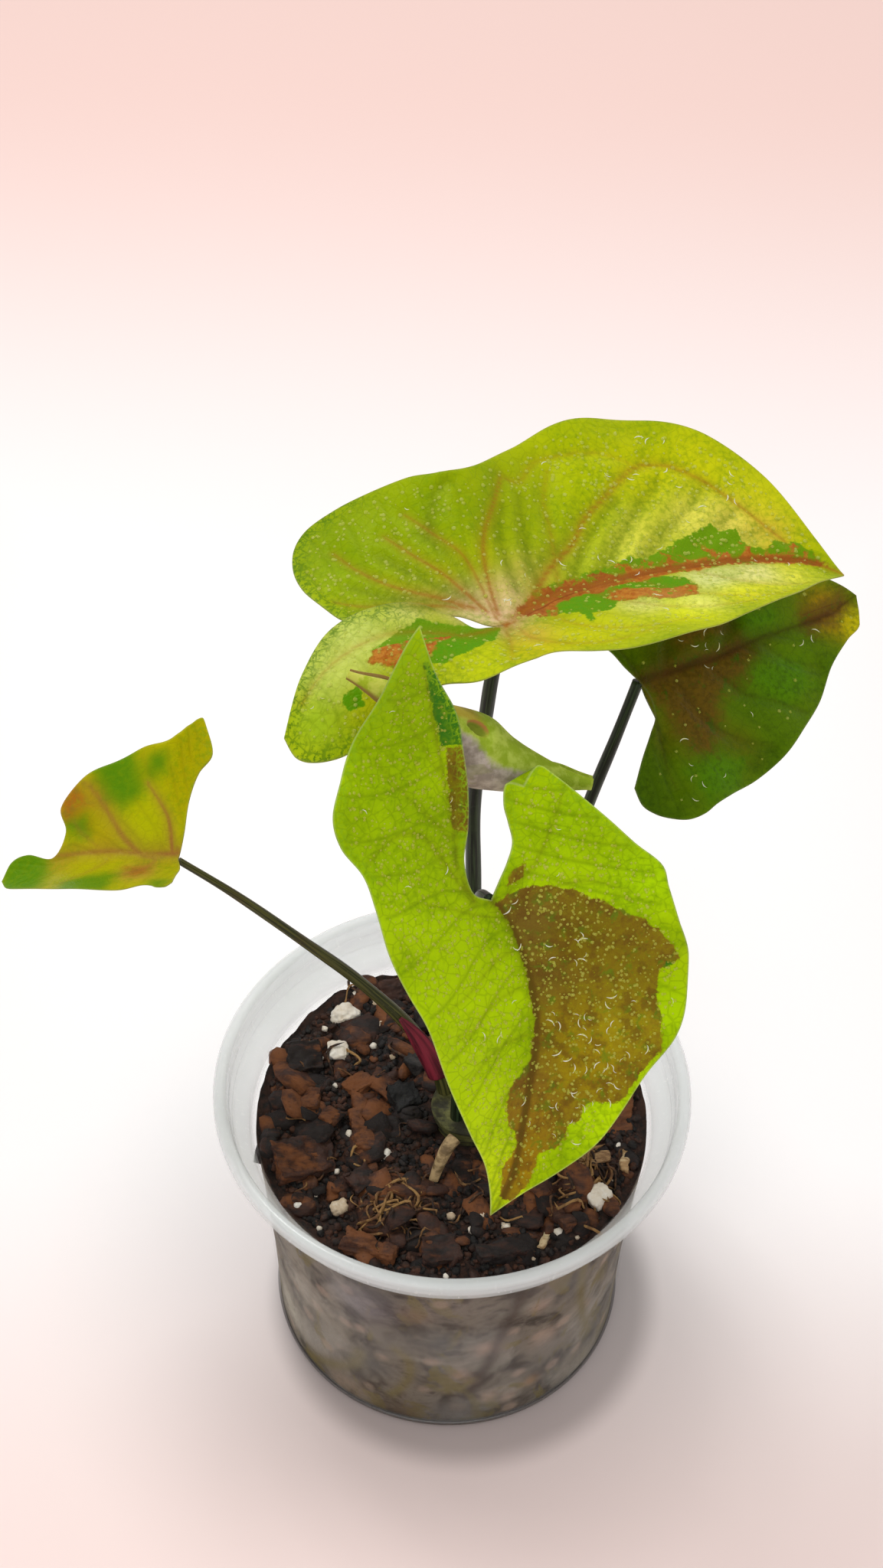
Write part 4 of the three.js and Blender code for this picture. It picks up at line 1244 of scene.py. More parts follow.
@dataclass
class Scatter:
    """Small forms strewn over a surface by a Geometry Nodes tree."""

    name: str
    forms: list
    density: float
    size: Point
    seed: int
    mask: str
    material: bpy.types.Material
    lean: float = 0.0
    lift: float = 0.0

    def tree(self) -> bpy.types.NodeTree:
        """The tree: points on the masked faces, a form on each, realized and dressed.

        Returns:
            The tree with its named inputs.
        """
        group = bpy.data.node_groups.new(self.name, "GeometryNodeTree")
        for key, kind in {"Geometry": "Geometry", "Density": "Float", "Smallest": "Float", "Largest": "Float",
                          "Lean": "Float", "Lift": "Float", "Seed": "Int"}.items():
            group.interface.new_socket(key, in_out="INPUT", socket_type=f"NodeSocket{kind}")
        group.interface.new_socket("Geometry", in_out="OUTPUT", socket_type="NodeSocketGeometry")
        entry = add_node(group, "NodeGroupInput", {}).outputs
        mask = add_node(group, "GeometryNodeInputNamedAttribute", {"Name": self.mask}).outputs["Attribute"]
        share = add_node(group, "ShaderNodeMath", {0: mask, 1: entry["Density"]}, operation="MULTIPLY")
        points = add_node(group, "GeometryNodeDistributePointsOnFaces", {
            "Mesh": entry["Geometry"], "Density": share.outputs[0], "Seed": entry["Seed"]})
        forms = add_node(group, "GeometryNodeGeometryToInstance", {})
        for form in self.forms:
            info = add_node(group, "GeometryNodeObjectInfo", {"Object": form})
            feed(group, forms.inputs[0], info.outputs["Geometry"])
        size = add_node(group, "FunctionNodeRandomValue", {
            2: entry["Smallest"], 3: entry["Largest"], "Seed": entry["Seed"]}, data_type="FLOAT")
        place = add_node(group, "GeometryNodeInstanceOnPoints", {
            "Points": points.outputs["Points"], "Instance": forms.outputs[0], "Pick Instance": True,
            "Rotation": points.outputs["Rotation"], "Scale": size.outputs[1]})
        tilt = add_node(group, "ShaderNodeCombineXYZ", {0: entry["Lean"], 1: entry["Lean"], 2: 2 * math.pi})
        turn = add_node(group, "FunctionNodeRandomValue", {1: tilt.outputs[0]}, data_type="FLOAT_VECTOR")
        rotate = add_node(group, "GeometryNodeRotateInstances", {
            "Instances": place.outputs[0], "Rotation": turn.outputs[0]})
        rise = add_node(group, "ShaderNodeCombineXYZ", {2: entry["Lift"]})
        move = add_node(group, "GeometryNodeTranslateInstances", {
            "Instances": rotate.outputs[0], "Translation": rise.outputs[0], "Local Space": False})
        tone = add_node(group, "FunctionNodeRandomValue", {}, data_type="FLOAT")
        store = add_node(group, "GeometryNodeStoreNamedAttribute", {
            "Geometry": move.outputs[0], "Name": "tone", "Value": tone.outputs[1]},
            data_type="FLOAT", domain="INSTANCE")
        real = add_node(group, "GeometryNodeRealizeInstances", {0: store.outputs[0]})
        dress = add_node(group, "GeometryNodeSetMaterial", {
            "Geometry": real.outputs[0], "Material": self.material})
        add_node(group, "NodeGroupOutput", {0: dress.outputs[0]})
        return group

    def build(self, ground: bpy.types.Object) -> bpy.types.Object:
        """Strews the forms over the ground and takes the ground and the forms away.

        Args:
            ground: A copy of the surface that carries the mask.

        Returns:
            The strewn forms as one plain mesh.
        """
        group = self.tree()
        modifier = ground.modifiers.new("scatter", "NODES")
        modifier.node_group = group
        smallest, largest = map(float, self.size)
        values = {"Density": self.density / MM**2, "Smallest": smallest, "Largest": largest,
                  "Lean": self.lean, "Lift": self.lift * MM, "Seed": self.seed}
        for item in group.interface.items_tree:
            if item.item_type == "SOCKET" and item.in_out == "INPUT" and item.name in values:
                modifier[item.identifier] = values[item.name]
        bpy.context.view_layer.update()
        mesh = applied(ground)
        mesh.name = self.name
        mesh.polygons.foreach_set("use_smooth", [True] * len(mesh.polygons))
        piece = shown(self.name, mesh)
        for old in [ground, *self.forms]:
            bpy.data.objects.remove(old)
        return piece


TOP_SHAPE = BladeShape(
    origin=(6.4, 10.9, 172.3),
    along=(0.925, 0.36, -0.075),
    up=(0, 0.02, 1),
    length=62.8,
    tip_shift=1.7,
    midrib_bow=7.6,
    fold_width=5,
    fold=(0.38, 0.4),
    lobe_fold=(0.05, -0.62),
    lobe_reach=24,
    lobe_lift=(-1.5, 2.4),
    droop=0.001,
    lobe_droop=(0.004, 0.005),
    wave=0.4,
    wave_length=23,
    wave_phase=(0.6, 2),
    margin=(
        ((61.4, 9.8), (57.7, 22.4), (51, 30.8), (42, 36.8), (32, 38), (22, 37.2), (13, 33.7),
         (5, 29.7), (-1, 29.2), (-6, 31.2)),
        ((57, -0.2), (49.5, -5.3), (41.5, -10.1), (34, -13.4), (26.5, -17.1), (20, -18.8),
         (14, -17.8), (8.2, -15), (3, -12), (-2.5, -12.6)),
    ),
    lobe=(
        ((-11.5, 32.8), (-17, 33.7), (-22, 33.3), (-25.2, 30.4), (-26.7, 26), (-26.6, 21), (-25, 16)),
        ((-8.5, -12.4), (-14, -9.6), (-20, -9.8), (-25.5, -12.2), (-30.5, -13.4), (-35, -12.7),
         (-37.9, -10.9), (-38.9, -7.6)),
    ),
    sinus=(
        ((-2.5, 0.8), (-6.5, 4.2), (-11.5, 5.5), (-16.5, 7), (-20.5, 9), (-23.3, 12)),
        ((-2.8, 0.2), (-5.2, 0.7), (-7.6, 4.2), (-12.5, 8.6), (-19.5, 9.4), (-27, 7.4), (-33.3, 1)),
    ),
)
FRONT_SHAPE = BladeShape(
    origin=(4.9, -24.5, 146.7),
    along=(0.075, -0.643, -0.766),
    up=(0.294, -0.718, 0.631),
    length=52.6,
    tip_shift=-0.3,
    midrib_bow=6.6,
    fold_width=4,
    fold=(0.3, 0.4),
    lobe_fold=(0.1, 0.1),
    lobe_reach=25,
    lobe_lift=(0, 0),
    droop=0.003,
    lobe_droop=(-0.006, -0.0075),
    wave=0.7,
    wave_length=19,
    wave_phase=(0, 1.5),
    margin=(
        ((49.3, 4.9), (46.2, 10.2), (41.8, 16), (36, 20.5), (30, 24.2), (24.1, 28), (17.5, 30.1),
         (11, 30.3), (4.8, 28.1), (0, 27.1)),
        ((48.5, -0.6), (43, -2), (37, -5.1), (30, -8.3), (23.5, -10.9), (17.5, -13.2), (12, -16),
         (5, -19), (-1.5, -20.6), (-6.5, -21.9)),
    ),
    lobe=(
        ((-3.8, 26.6), (-7.5, 22.6), (-11.5, 18.6), (-15.5, 14.4), (-18.9, 10.6), (-20.7, 7.7),
         (-17.6, 5.5)),
        ((-11, -25), (-16, -26.2), (-21.5, -24.5), (-27, -22.3), (-32.5, -19.2), (-37.5, -17.1),
         (-41.2, -15.3), (-43.8, -13.6)),
    ),
    sinus=(
        ((-3, 1.5), (-5.7, 2.8), (-8.8, 3.7), (-12, 3.1), (-15, 2.4), (-18.2, 2.8)),
        ((-1.5, -3), (-6.5, -4.3), (-12, -3.5), (-18, -3.6), (-24, -4.6), (-30, -6.1), (-36.5, -10.2)),
    ),
)
RIGHT_SHAPE = BladeShape(
    origin=(29.6, 20.4, 151.9),
    along=(0.86, 0.49, -0.12),
    up=(0.1, -0.62, 0.8),
    length=50,
    tip_shift=4.6,
    midrib_bow=0.6,
    fold_width=4,
    fold=(-0.22, 0.15),
    lobe_fold=(-0.2, -0.1),
    lobe_reach=20,
    lobe_lift=(0, 0),
    droop=0.0012,
    lobe_droop=(0.003, 0.003),
    wave=0.7,
    wave_length=21,
    wave_phase=(0, 0.5),
    margin=(
        ((47.6, 7), (43.5, 10), (37, 14.2), (31, 17.8), (24.5, 20.6), (18, 22.8), (12, 24),
         (6, 24.6), (1, 25.3), (-3, 26)),
        ((48.2, -0.6), (44, -2.8), (38.5, -6.5), (33, -12), (26.5, -16), (20.5, -19.5),
         (14.5, -21.8), (8.5, -22.8), (4.5, -23.6), (1.5, -24.6)),
    ),
    lobe=(
        ((-7.5, 25.6), (-11.5, 23.5), (-14, 20.5), (-15, 17), (-14, 13.5)),
        ((-1.3, -24.7), (-3.9, -23.5), (-5.8, -22), (-7.2, -20), (-7.5, -17)),
    ),
    sinus=(
        ((-1.6, 2.8), (-3.2, 6.5), (-6.5, 9.8), (-10.5, 12)),
        ((1, -3), (0.5, -6.5), (-1.5, -9), (-4.5, -12.6)),
    ),
)
LEFT_SHAPE = BladeShape(
    origin=(-49.1, 9.9, 116.7),
    along=(-0.985, -0.1, -0.13),
    up=(0.05, -0.18, 1),
    length=32,
    tip_shift=-1.9,
    midrib_bow=-2.2,
    fold_width=2,
    fold=(0.95, 0.42),
    lobe_fold=(0.6, 0.3),
    lobe_reach=14,
    lobe_lift=(0, 0),
    droop=0.002,
    lobe_droop=(0, 0),
    wave=0.6,
    wave_length=13,
    wave_phase=(0, 1),
    margin=(
        ((30.8, 0.4), (27.6, 2.6), (23.5, 4.9), (19, 7.4), (15, 9.3), (11, 10.5), (8, 10.9),
         (5.2, 9.8), (3.6, 10), (2.6, 10.8)),
        ((30, -5), (26.8, -5.8), (22.5, -4.5), (19.7, -8.5), (20.1, -12.8), (15.5, -16.8),
         (9.5, -18.6), (4.5, -19.8), (0, -19.8), (-2.5, -21.3)),
    ),
    lobe=(
        ((1.6, 10.8), (0.9, 10.3), (0.2, 8.5)),
        ((-4, -22.6), (-5, -23.3), (-6, -24), (-7, -24.1), (-7.4, -22.6)),
    ),
    sinus=(((-0.4, 2.8), (0, 5.5)), ((-1.5, -4.5), (-3, -9.8), (-5.2, -14.4), (-8, -17.6))),
)

TOP_VEINS = (
    Vein(((0, 0), (3, 2.2), (8.4, 5.1), (12.7, 6.3), (19.9, 7.1), (30, 8.2), (40.8, 8.7), (50.9, 8),
          (58.8, 6.1), (62.8, 1.7)), 0.7, 0.35, 1.3),
    Vein(((-1.5, 4), (-4, 9), (-6, 13), (-9, 18), (-12, 24)), 0.5, 0.3, 1.0),
    Vein(((-3, 5), (-8, 9), (-12, 12.5), (-15, 16), (-18, 21), (-20, 26)), 0.5, 0.3, 1.0),
    Vein(((-4, 5.5), (-9, 7.5), (-14, 10), (-19, 13), (-23, 16.5)), 0.45, 0.28, 0.9),
    Vein(((-0.5, 2), (-1, 10), (-2, 15), (-5, 20), (-8, 26)), 0.45, 0.28, 0.9),
    Vein(((0, 3), (1, 12), (3, 18), (7, 24), (10, 29)), 0.55, 0.32, 1.1),
    Vein(((10, 29), (13, 28), (17, 31.5), (23, 32), (30, 31.5), (34, 30)), 0.4, 0.3, 0.5),
    Vein(((5, 3.5), (12, 11), (18, 15.5), (22, 20), (27, 23.5), (31, 26.5), (35, 29), (40, 29), (45, 25.5),
          (49, 21), (52, 17), (56, 11)), 0.5, 0.35, 1.1),
    Vein(((12.5, 8), (15, 18), (16, 24), (19, 30)), 0.45, 0.3, 0.55),
    Vein(((-1, 0), (-6, -0.5), (-12, 1.5), (-18, 3), (-24, 2.5), (-30, 0), (-35, -4)), 0.45, 0.3, 0.7),
    Vein(((0, 0), (-1, -5), (-3, -10)), 0.6, 0.3, 0.55),
    Vein(((2, 0), (3, -5), (6, -9), (12, -12.5), (20, -13)), 0.5, 0.3, 0.45),
    Vein(((8, 3), (10, -3), (14, -8), (20, -11.5), (28, -11)), 0.45, 0.3, 0.45),
    Vein(((17, 6), (22, -1), (26, -5), (33, -7), (41, -7)), 0.45, 0.3, 0.45),
    Vein(((26, 7), (30, 2), (35, -2), (42, -5), (50, -4)), 0.45, 0.3, 0.4),
    Vein(((36, 8), (42, 3), (48, 0), (55, 0)), 0.4, 0.3, 0.4),
)
TOP_GROOVES = (
    Vein(((20, 8), (25, 14), (31, 20), (38, 26)), 0.55, 0.3),
    Vein(((28, 9), (34, 15), (41, 20), (46, 24)), 0.55, 0.3),
    Vein(((36, 9.5), (43, 14), (49, 18)), 0.5, 0.3),
    Vein(((15, 8), (19, 14), (24, 19), (29, 23)), 0.45, 0.3),
    Vein(((9, 8), (9.5, 14), (10.5, 20), (12, 25)), 0.45, 0.3),
    Vein(((5, 7), (5, 13), (6, 19), (8, 23)), 0.4, 0.3),
    Vein(((-6, 20), (-3, 26), (0, 28)), 0.4, 0.3),
    Vein(((-4, 7.5), (-8, 11.5), (-11, 16), (-14, 21)), 0.7, 0.4),
    Vein(((-6, 7), (-11, 10), (-16, 13.4), (-20, 18)), 0.7, 0.4),
    Vein(((-10, 7.2), (-15, 8.6), (-20, 11.5)), 0.6, 0.4),
    Vein(((11, 12.5), (18, 17), (23, 22.5)), 0.6, 0.4, 0.7),
    Vein(((42, 9.6), (48, 12.6), (53, 14)), 0.45, 0.3, 0.8),
    Vein(((-3, 9), (-4, 15), (-7, 21)), 0.6, 0.4, 0.8),
)
TOP_BROWN = (
    ((2.6, 3), (6, 5.6), (10, 7.6), (16, 9), (20, 9.8), (27, 11.4), (35, 12), (42, 12), (48, 10.4), (53, 9),
     (58.5, 7.4), (61, 4.6), (55, 6.4), (48, 7.2), (42, 7.4), (33, 6.6), (30, 6.2), (26, 5.8), (22, 5),
     (16, 4.4), (12, 3.4), (8, 2.2), (4.6, 1.2)),
    ((20, 4), (26, 2.6), (33, 2), (34, 1), (33, -2.5), (28, -3), (26, -2.5), (24, -0.3), (20, 0.5), (18, 2)),
    ((4, 2.6), (8, 4), (10, 2.4), (9, 0.6), (6, 0.6)),
    ((-3, 0.5), (-8, 2), (-13, 4.5), (-18, 2.5), (-22, 0), (-24, -2), (-20, -4.5), (-17, -5), (-14.5, -4),
     (-12, -1.5), (-8, 0.5)),
)
TOP_GREEN = (
    ((4, 4), (10, 7.6), (16, 8.8), (20, 9.8), (27, 11), (31, 11.6), (34, 12.6), (38, 14), (41, 15.2),
     (44, 16.4), (45.2, 14.8), (48, 14.6), (48.4, 12.4), (49.4, 10.6), (51.2, 9.6), (52.4, 10.2),
     (54, 11.2), (57, 10.6), (58.8, 8.8), (61, 5), (55, 6.8), (48, 7.6), (42, 8), (33, 7.6), (26, 7),
     (20, 6.4), (12, 4.8), (6, 3)),
    ((8, 4.6), (9, 1), (12, -1), (13, -4.8), (14, -2.5), (17, -3), (19, -0.5), (20, 0.5), (24, -0.3),
     (26, -2.5), (28, -3), (33, -2.5), (34, 1), (33.8, 4.3), (30, 6), (28, 7), (20, 6.8), (12, 5)),
    ((-1, -0.5), (-3, -3), (-7, -4.5), (-13, -6), (-15, -4.6), (-17, -5), (-20, -4.5), (-24, -2), (-22, 0),
     (-18, 2.5), (-13, 4.5), (-8, 2), (-3, 0.8)),
    ((-26, -5), (-29, -5.6), (-29, -8), (-26.4, -8)),
)
FRONT_VEINS = (
    Vein(((0, 0), (3, 2.2), (7, 4), (12, 5.5), (18, 6.7), (25, 6.6), (32, 5.5), (38, 4.6), (45, 3.5),
          (50, 1.5), (52.6, -0.3)), 0.5, 0.3, 1.0),
    Vein(((-1, 3), (-5, 7), (-9, 9), (-14, 11), (-18, 12)), 0.32, 0.22, 0.6),
    Vein(((-2, -4.5), (-10, -10), (-12, -13), (-11, -17), (-8, -21)), 0.32, 0.22, 0.7),
    Vein(((8, 4), (10, 0), (14, -5), (16, -9)), 0.28, 0.2, 0.55),
    Vein(((22, 6.4), (23.3, 1), (25.4, -2.4), (28, -5)), 0.28, 0.2, 0.55),
    Vein(((3, 1.5), (2, -3), (0.5, -7), (-1, -12)), 0.28, 0.2, 0.55),
    Vein(((14, 5.8), (16, 0), (20, -5), (21, -8)), 0.26, 0.18, 0.45),
    Vein(((30, 5.6), (32, 1), (35, -2)), 0.26, 0.18, 0.45),
    Vein(((0, -3), (-6, -5.6), (-12, -6), (-20, -7.6), (-30, -10), (-38, -12.4)), 0.4, 0.22, 0.8),
    Vein(((-10, -6), (-14, -10), (-19, -15), (-24, -19)), 0.28, 0.2, 0.45),
    Vein(((-20, -7.6), (-25, -11), (-31, -15)), 0.26, 0.18, 0.45),
    Vein(((2, 3), (-1, 9), (-2, 15), (0, 21)), 0.3, 0.2, 0.5),
    Vein(((6, 4.4), (6, 12), (9, 20), (14, 25)), 0.3, 0.2, 0.4),
    Vein(((13, 6.4), (15, 13), (20, 20), (25, 24)), 0.3, 0.2, 0.4),
    Vein(((22, 7), (26, 13), (31, 18)), 0.3, 0.2, 0.4),
    Vein(((32, 6), (36, 10), (40, 11.6)), 0.28, 0.2, 0.4),
)
FRONT_BROWN = (
    ((0.5, 0.3), (-1.5, 5), (-1.8, 8), (-1, 12), (1, 16), (3.5, 21), (6, 25), (9, 27.5), (10.5, 28.5),
     (11.5, 29), (12, 27), (13.5, 26), (17, 25.5), (22, 26), (26, 26), (28, 24.5), (31, 22.5), (34, 20.5),
     (35, 19), (34.2, 16), (35, 14), (37.5, 13.5), (38, 12), (40, 11.5), (42, 9.5), (42.5, 7.5), (45, 6.8),
     (48, 5.5), (50.5, 3), (50, 1.5), (46, 1.2), (44, 1.5), (42.5, 3), (40.5, 3.8), (38.5, 3.3), (37, 2.2),
     (34, 1.7), (31, 2), (29.5, 3), (28, 4.8), (26.5, 6), (20, 6.6), (12, 5.4), (6, 3.6), (2, 1.5)),
    ((-5.6, 5.7), (-3, 5.5), (-2, 2.5), (-4.5, 3.5)),
    ((-25, -7.6), (-12, -6), (-11, -3.2), (-18, -3.2), (-25, -5)),
)
FRONT_GREEN = (
    ((9, 26.2), (10.5, 28.5), (12, 28), (13, 26.2)),
    ((17, 8), (19, 8.4), (19.4, 10.6), (17.4, 10.4)),
    ((-38, -12.2), (-25, -8), (-25, -4.6), (-31, -6.2), (-37, -10.2)),
)
RIGHT_VEINS = (
    Vein(((0, 0), (10, 0.3), (16.7, 0.5), (25, 1.5), (33.5, 2), (42.4, 2.5), (50, 4.8)), 0.7, 0.35, 1.0),
    Vein(((2, -1), (7, -2), (9, -8), (12, -12), (16, -15), (20, -17)), 0.5, 0.3, 0.6),
    Vein(((14, 0), (17, -4), (19, -7), (23, -9), (29, -13)), 0.45, 0.3, 0.6),
    Vein(((0, -2), (0, -10), (-1, -15), (-1, -19)), 0.5, 0.3, 0.5),
    Vein(((26, 1.5), (30, -3), (36, -6)), 0.4, 0.25, 0.4),
    Vein(((6, 1), (10, 8), (16, 15), (22, 20)), 0.45, 0.3, 0.4),
    Vein(((18, 1), (24, 8), (31, 13)), 0.4, 0.3, 0.4),
    Vein(((0, 2), (-3, 12), (-8, 20)), 0.5, 0.3, 0.4),
)
RIGHT_BROWN = (
    ((0, 1), (10, 1.6), (22, 2.2), (24, 0), (20, -4), (14, -6), (12, -11), (8, -15), (4, -14), (3, -8),
     (1, -3)),
    ((36, 4.5), (47, 6), (48, 3), (42, 0.6), (37, 0.4)),
    ((10, 3), (20, 5), (24, 12), (16, 18), (8, 12)),
)
RIGHT_GREEN = (
    ((21, -3), (28, -2), (33, -4), (33, -9), (26, -11), (21, -8)),
    ((24, 3), (31, 3), (31, 6.5), (24, 7)),
    ((2, -17), (8, -15), (14, -18), (10, -22), (3, -23)),
)
LEFT_VEINS = (
    Vein(((0, -1.4), (5, -1.9), (8, -3), (12, -4), (17, -4.6), (22, -4.8)), 0.95, 0.6, 1.1),
    Vein(((1, -2), (1, -7), (2, -10), (4, -14)), 0.6, 0.3, 1.1),
    Vein(((7, -2.6), (9.5, -6), (11, -9), (13, -13), (15, -16)), 0.9, 0.5, 1.0),
    Vein(((4, -1), (6, 2), (9, 3.6)), 0.8, 0.5, 0.7),
    Vein(((12, -3), (16, -7), (18, -10)), 0.5, 0.3, 0.5),
    Vein(((12, -3), (16, 1), (20, 4)), 0.5, 0.3, 0.4),
)
LEFT_BROWN = (
    ((5, 1.4), (9, 1.4), (8, 5), (5, 4.6)),
    ((15, -12.4), (19.4, -10.6), (21, -14), (17, -17)),
)
LEFT_GREEN = (
    ((5, -12), (9, -10.6), (12, -13), (14, -19), (6, -22)),
    ((0.4, -15), (3.4, -15.2), (3, -18), (0.4, -18)),
    ((16, -7.6), (20, -8.4), (20, -11), (16, -10.6)),
    ((10, 3.4), (20, 3.2), (20, 9), (11, 11)),
    ((23, -8), (32, -7), (33, 2), (24, 5)),
    ((1.4, 8), (3.4, 8), (3.4, 12), (1.4, 12)),
)


TOP_TINTS = (
    ((-18, 27), 12, "#779701", 0.8), ((-8, 24), 9, "#80a001", 0.7), ((5, 24), 9, "#889e01", 0.7),
    ((14, 25), 8, "#8fa301", 0.6), ((-20, 18), 7, "#8fb102", 0.6), ((-12, 15), 5, "#9dae07", 0.6),
    ((0, 3.4), 4.6, "#f6d4ac", 1.0), ((-5, 6), 3.6, "#ebc7a0", 0.7), ((4, 7), 3.6, "#e8bf8c", 0.7),
    ((-11, 8.6), 3.6, "#c4af4f", 0.6), ((8, 10.6), 3.6, "#c8ab5e", 0.5), ((12, 10), 4, "#bfba34", 0.5),
    ((20, 12), 5, "#c0cc32", 0.6), ((31, 15), 6, "#f5ed58", 0.7), ((41, 18), 5, "#fff268", 0.8),
    ((48, 15.6), 5, "#ffe76c", 0.8), ((27, 12), 3.6, "#f5f258", 0.6), ((54, 13), 4.4, "#f7c94c", 0.6),
    ((36, 27), 7, "#dad606", 0.6), ((46, 27), 7, "#e2db10", 0.6), ((26, 30), 7, "#c7cf04", 0.6),
    ((54, 19), 6, "#e6db18", 0.6), ((59, 11), 5, "#cbc906", 0.6), ((22, 22), 6, "#c0d006", 0.5),
    ((3, -4), 4, "#d6af48", 0.8), ((2, -9), 5, "#d8c80b", 0.8), ((10, -8), 6, "#d2d007", 0.8),
    ((18, -8), 6, "#cfd416", 0.7), ((22, -4), 4, "#fffa9c", 0.9), ((28, -9), 6, "#f4f80c", 0.8),
    ((31, -6), 4, "#ffff8c", 0.85), ((38, 3), 4.6, "#ffffae", 0.9), ((47, 3.4), 4.6, "#fff6a4", 0.9),
    ((40, -4), 5, "#fffb24", 0.7), ((53, 2.6), 4, "#fffa4c", 0.8), ((47, -2), 4, "#f7f512", 0.7),
    ((-14, 7), 3.6, "#d8dc79", 0.9), ((-23, 4), 6, "#ceda73", 0.9), ((-30, -1), 5, "#c2d45e", 0.9),
    ((-34, -8), 4, "#a4c828", 0.7), ((-25, -9), 4, "#c2c40b", 0.8), ((-8, -9), 6, "#cdd404", 0.9),
    ((-16, -9), 5, "#c4cf05", 0.9), ((-27, 0), 5, "#cfd66c", 0.7),
)
TOP_DEEP = (
    ((4, 3), 4, "#8c4a30", 0.8), ((12, 6.4), 4, "#8a3c1a", 0.8), ((20, 7.6), 4, "#8e441c", 0.8),
    ((32, 8), 4, "#a34c1e", 0.7), ((44, 8.4), 4, "#ad5a2a", 0.7), ((55, 7), 4, "#b25c2a", 0.7),
    ((38, 11.6), 4, "#b0761e", 0.6), ((28, -1), 4, "#bc7c3e", 0.7), ((-14, 2), 5, "#a8582c", 0.6),
)
FRONT_TINTS = (
    ((-37, -14), 7, "#87a905", 0.7), ((-28, -14), 7, "#94b805", 0.5), ((-18, -17), 8, "#9cc105", 0.5),
    ((0, -12), 8, "#b6d904", 0.5), ((-8, -8), 5, "#98b806", 0.5), ((20, -5), 8, "#c0e305", 0.6),
    ((34, -3), 7, "#cbea08", 0.7), ((44, 0), 6, "#d8f00e", 0.8), ((-12, 12), 8, "#a6ce06", 0.6),
    ((-2, 24), 6, "#b4df06", 0.6), ((20, 28), 5, "#b0da05", 0.6), ((37, 17), 6, "#caf009", 0.8),
    ((-2, -3), 3, "#90a90d", 0.6), ((48, 2), 4, "#d6ed11", 0.8), ((30, 24), 4, "#c2ea08", 0.6),
)
FRONT_DEEP = (
    ((4, 6), 5, "#755d27", 0.8), ((14, 8), 5, "#755d23", 0.7), ((3, 16), 6, "#7b6916", 0.8),
    ((12, 22), 6, "#887715", 0.8), ((22, 20), 6, "#aa9a14", 0.8), ((28, 15), 6, "#ad950e", 0.8),
    ((20, 11), 5, "#978211", 0.8), ((36, 6), 5, "#9e7a1c", 0.8), ((30, 5), 4, "#8b6727", 0.7),
    ((44, 4), 5, "#b48b0e", 0.8), ((8, 13), 4, "#7b6a0b", 0.7), ((-18, -5), 5, "#75720b", 0.8),
)
RIGHT_TINTS = (
    ((8, 1), 7, "#543c0a", 0.8), ((22, 2), 6, "#4c3b08", 0.7), ((20, 10), 9, "#304104", 0.8),
    ((27, -6), 6, "#678f04", 0.8), ((20, -12), 6, "#557a04", 0.7), ((4, -18), 7, "#5a7605", 0.8),
    ((8, -7), 4, "#7e500a", 0.7), ((42, 3), 5, "#b8840c", 0.9), ((47, -0.5), 3.4, "#e1d005", 0.8),
    ((36, -3), 5, "#577a04", 0.7), ((30, 6), 5, "#617e07", 0.7), ((2, -10), 4, "#69520a", 0.6),
    ((14, -15), 4, "#6a580b", 0.6), ((33, -9), 4, "#658406", 0.6),
)
LEFT_TINTS = (
    ((6, -7), 5, "#b6ba04", 0.9), ((8, -15.5), 3.6, "#648c04", 0.8), ((2, -16.5), 2.2, "#5c8408", 0.7),
    ((16, -9.5), 2.6, "#8c7c0c", 0.7), ((18.5, -12.5), 2.8, "#b0700c", 0.8), ((1.5, 4), 3, "#a8ac08", 0.7),
    ((2.5, 9), 2, "#74942c", 0.7), ((6.5, 4), 3.4, "#b87846", 0.8), ((15, 6.5), 4.6, "#749604", 0.8),
    ((27, -1), 5.6, "#68901c", 0.8), ((22, -3), 3.4, "#b08e1c", 0.6), ((13, -6), 3, "#b89c10", 0.7),
    ((12, -15), 2.4, "#968a0c", 0.6), ((4, -20), 3, "#b0a60c", 0.6), ((14, -13), 3, "#b08414", 0.5),
)


# Soft tints on the mix's side, by place around the cup and height; the dark ones low at the front, at (2, 6)
# and (-9, 3), make the front bottom darker.
WALL_TINTS = (
    ((-39, 12), 6, "#c0baa8", 0.8), ((-33, 30), 6, "#aea798", 0.7), ((-16, 42), 6, "#7e787c", 0.8),
    ((-24, 24), 5, "#8e8573", 0.6), ((-15, 19), 3.4, "#4f4a42", 0.9), ((-21, 4), 5, "#8c7860", 0.7),
    ((-9, 3), 5, "#5c4c38", 0.8), ((-0.5, 34), 2.6, "#46433e", 0.9), ((-6, 43), 3, "#77604f", 0.7),
    ((-7, 32), 5, "#5d564b", 0.6), ((8, 30), 2.4, "#ae917c", 0.9), ((3, 20.5), 2, "#9c8474", 0.8),
    ((8.2, 10.4), 2, "#a48e7c", 0.8), ((12.6, 8), 1.8, "#a08a78", 0.8), ((17.5, 11.3), 1.8, "#8e6a3e", 0.8),
    ((17.3, 41), 2.2, "#9c8676", 0.8), ((20, 27.4), 3.2, "#9e8a78", 0.8), ((33, 2), 6, "#98907f", 0.8),
    ((36, 30), 5, "#867c6e", 0.6), ((2, 6), 5, "#453c34", 0.8), ((0, 48), 5, "#857c74", 0.5),
    ((20, 48), 5, "#7a6e62", 0.5), ((27, 10), 4, "#8a8070", 0.5),
)
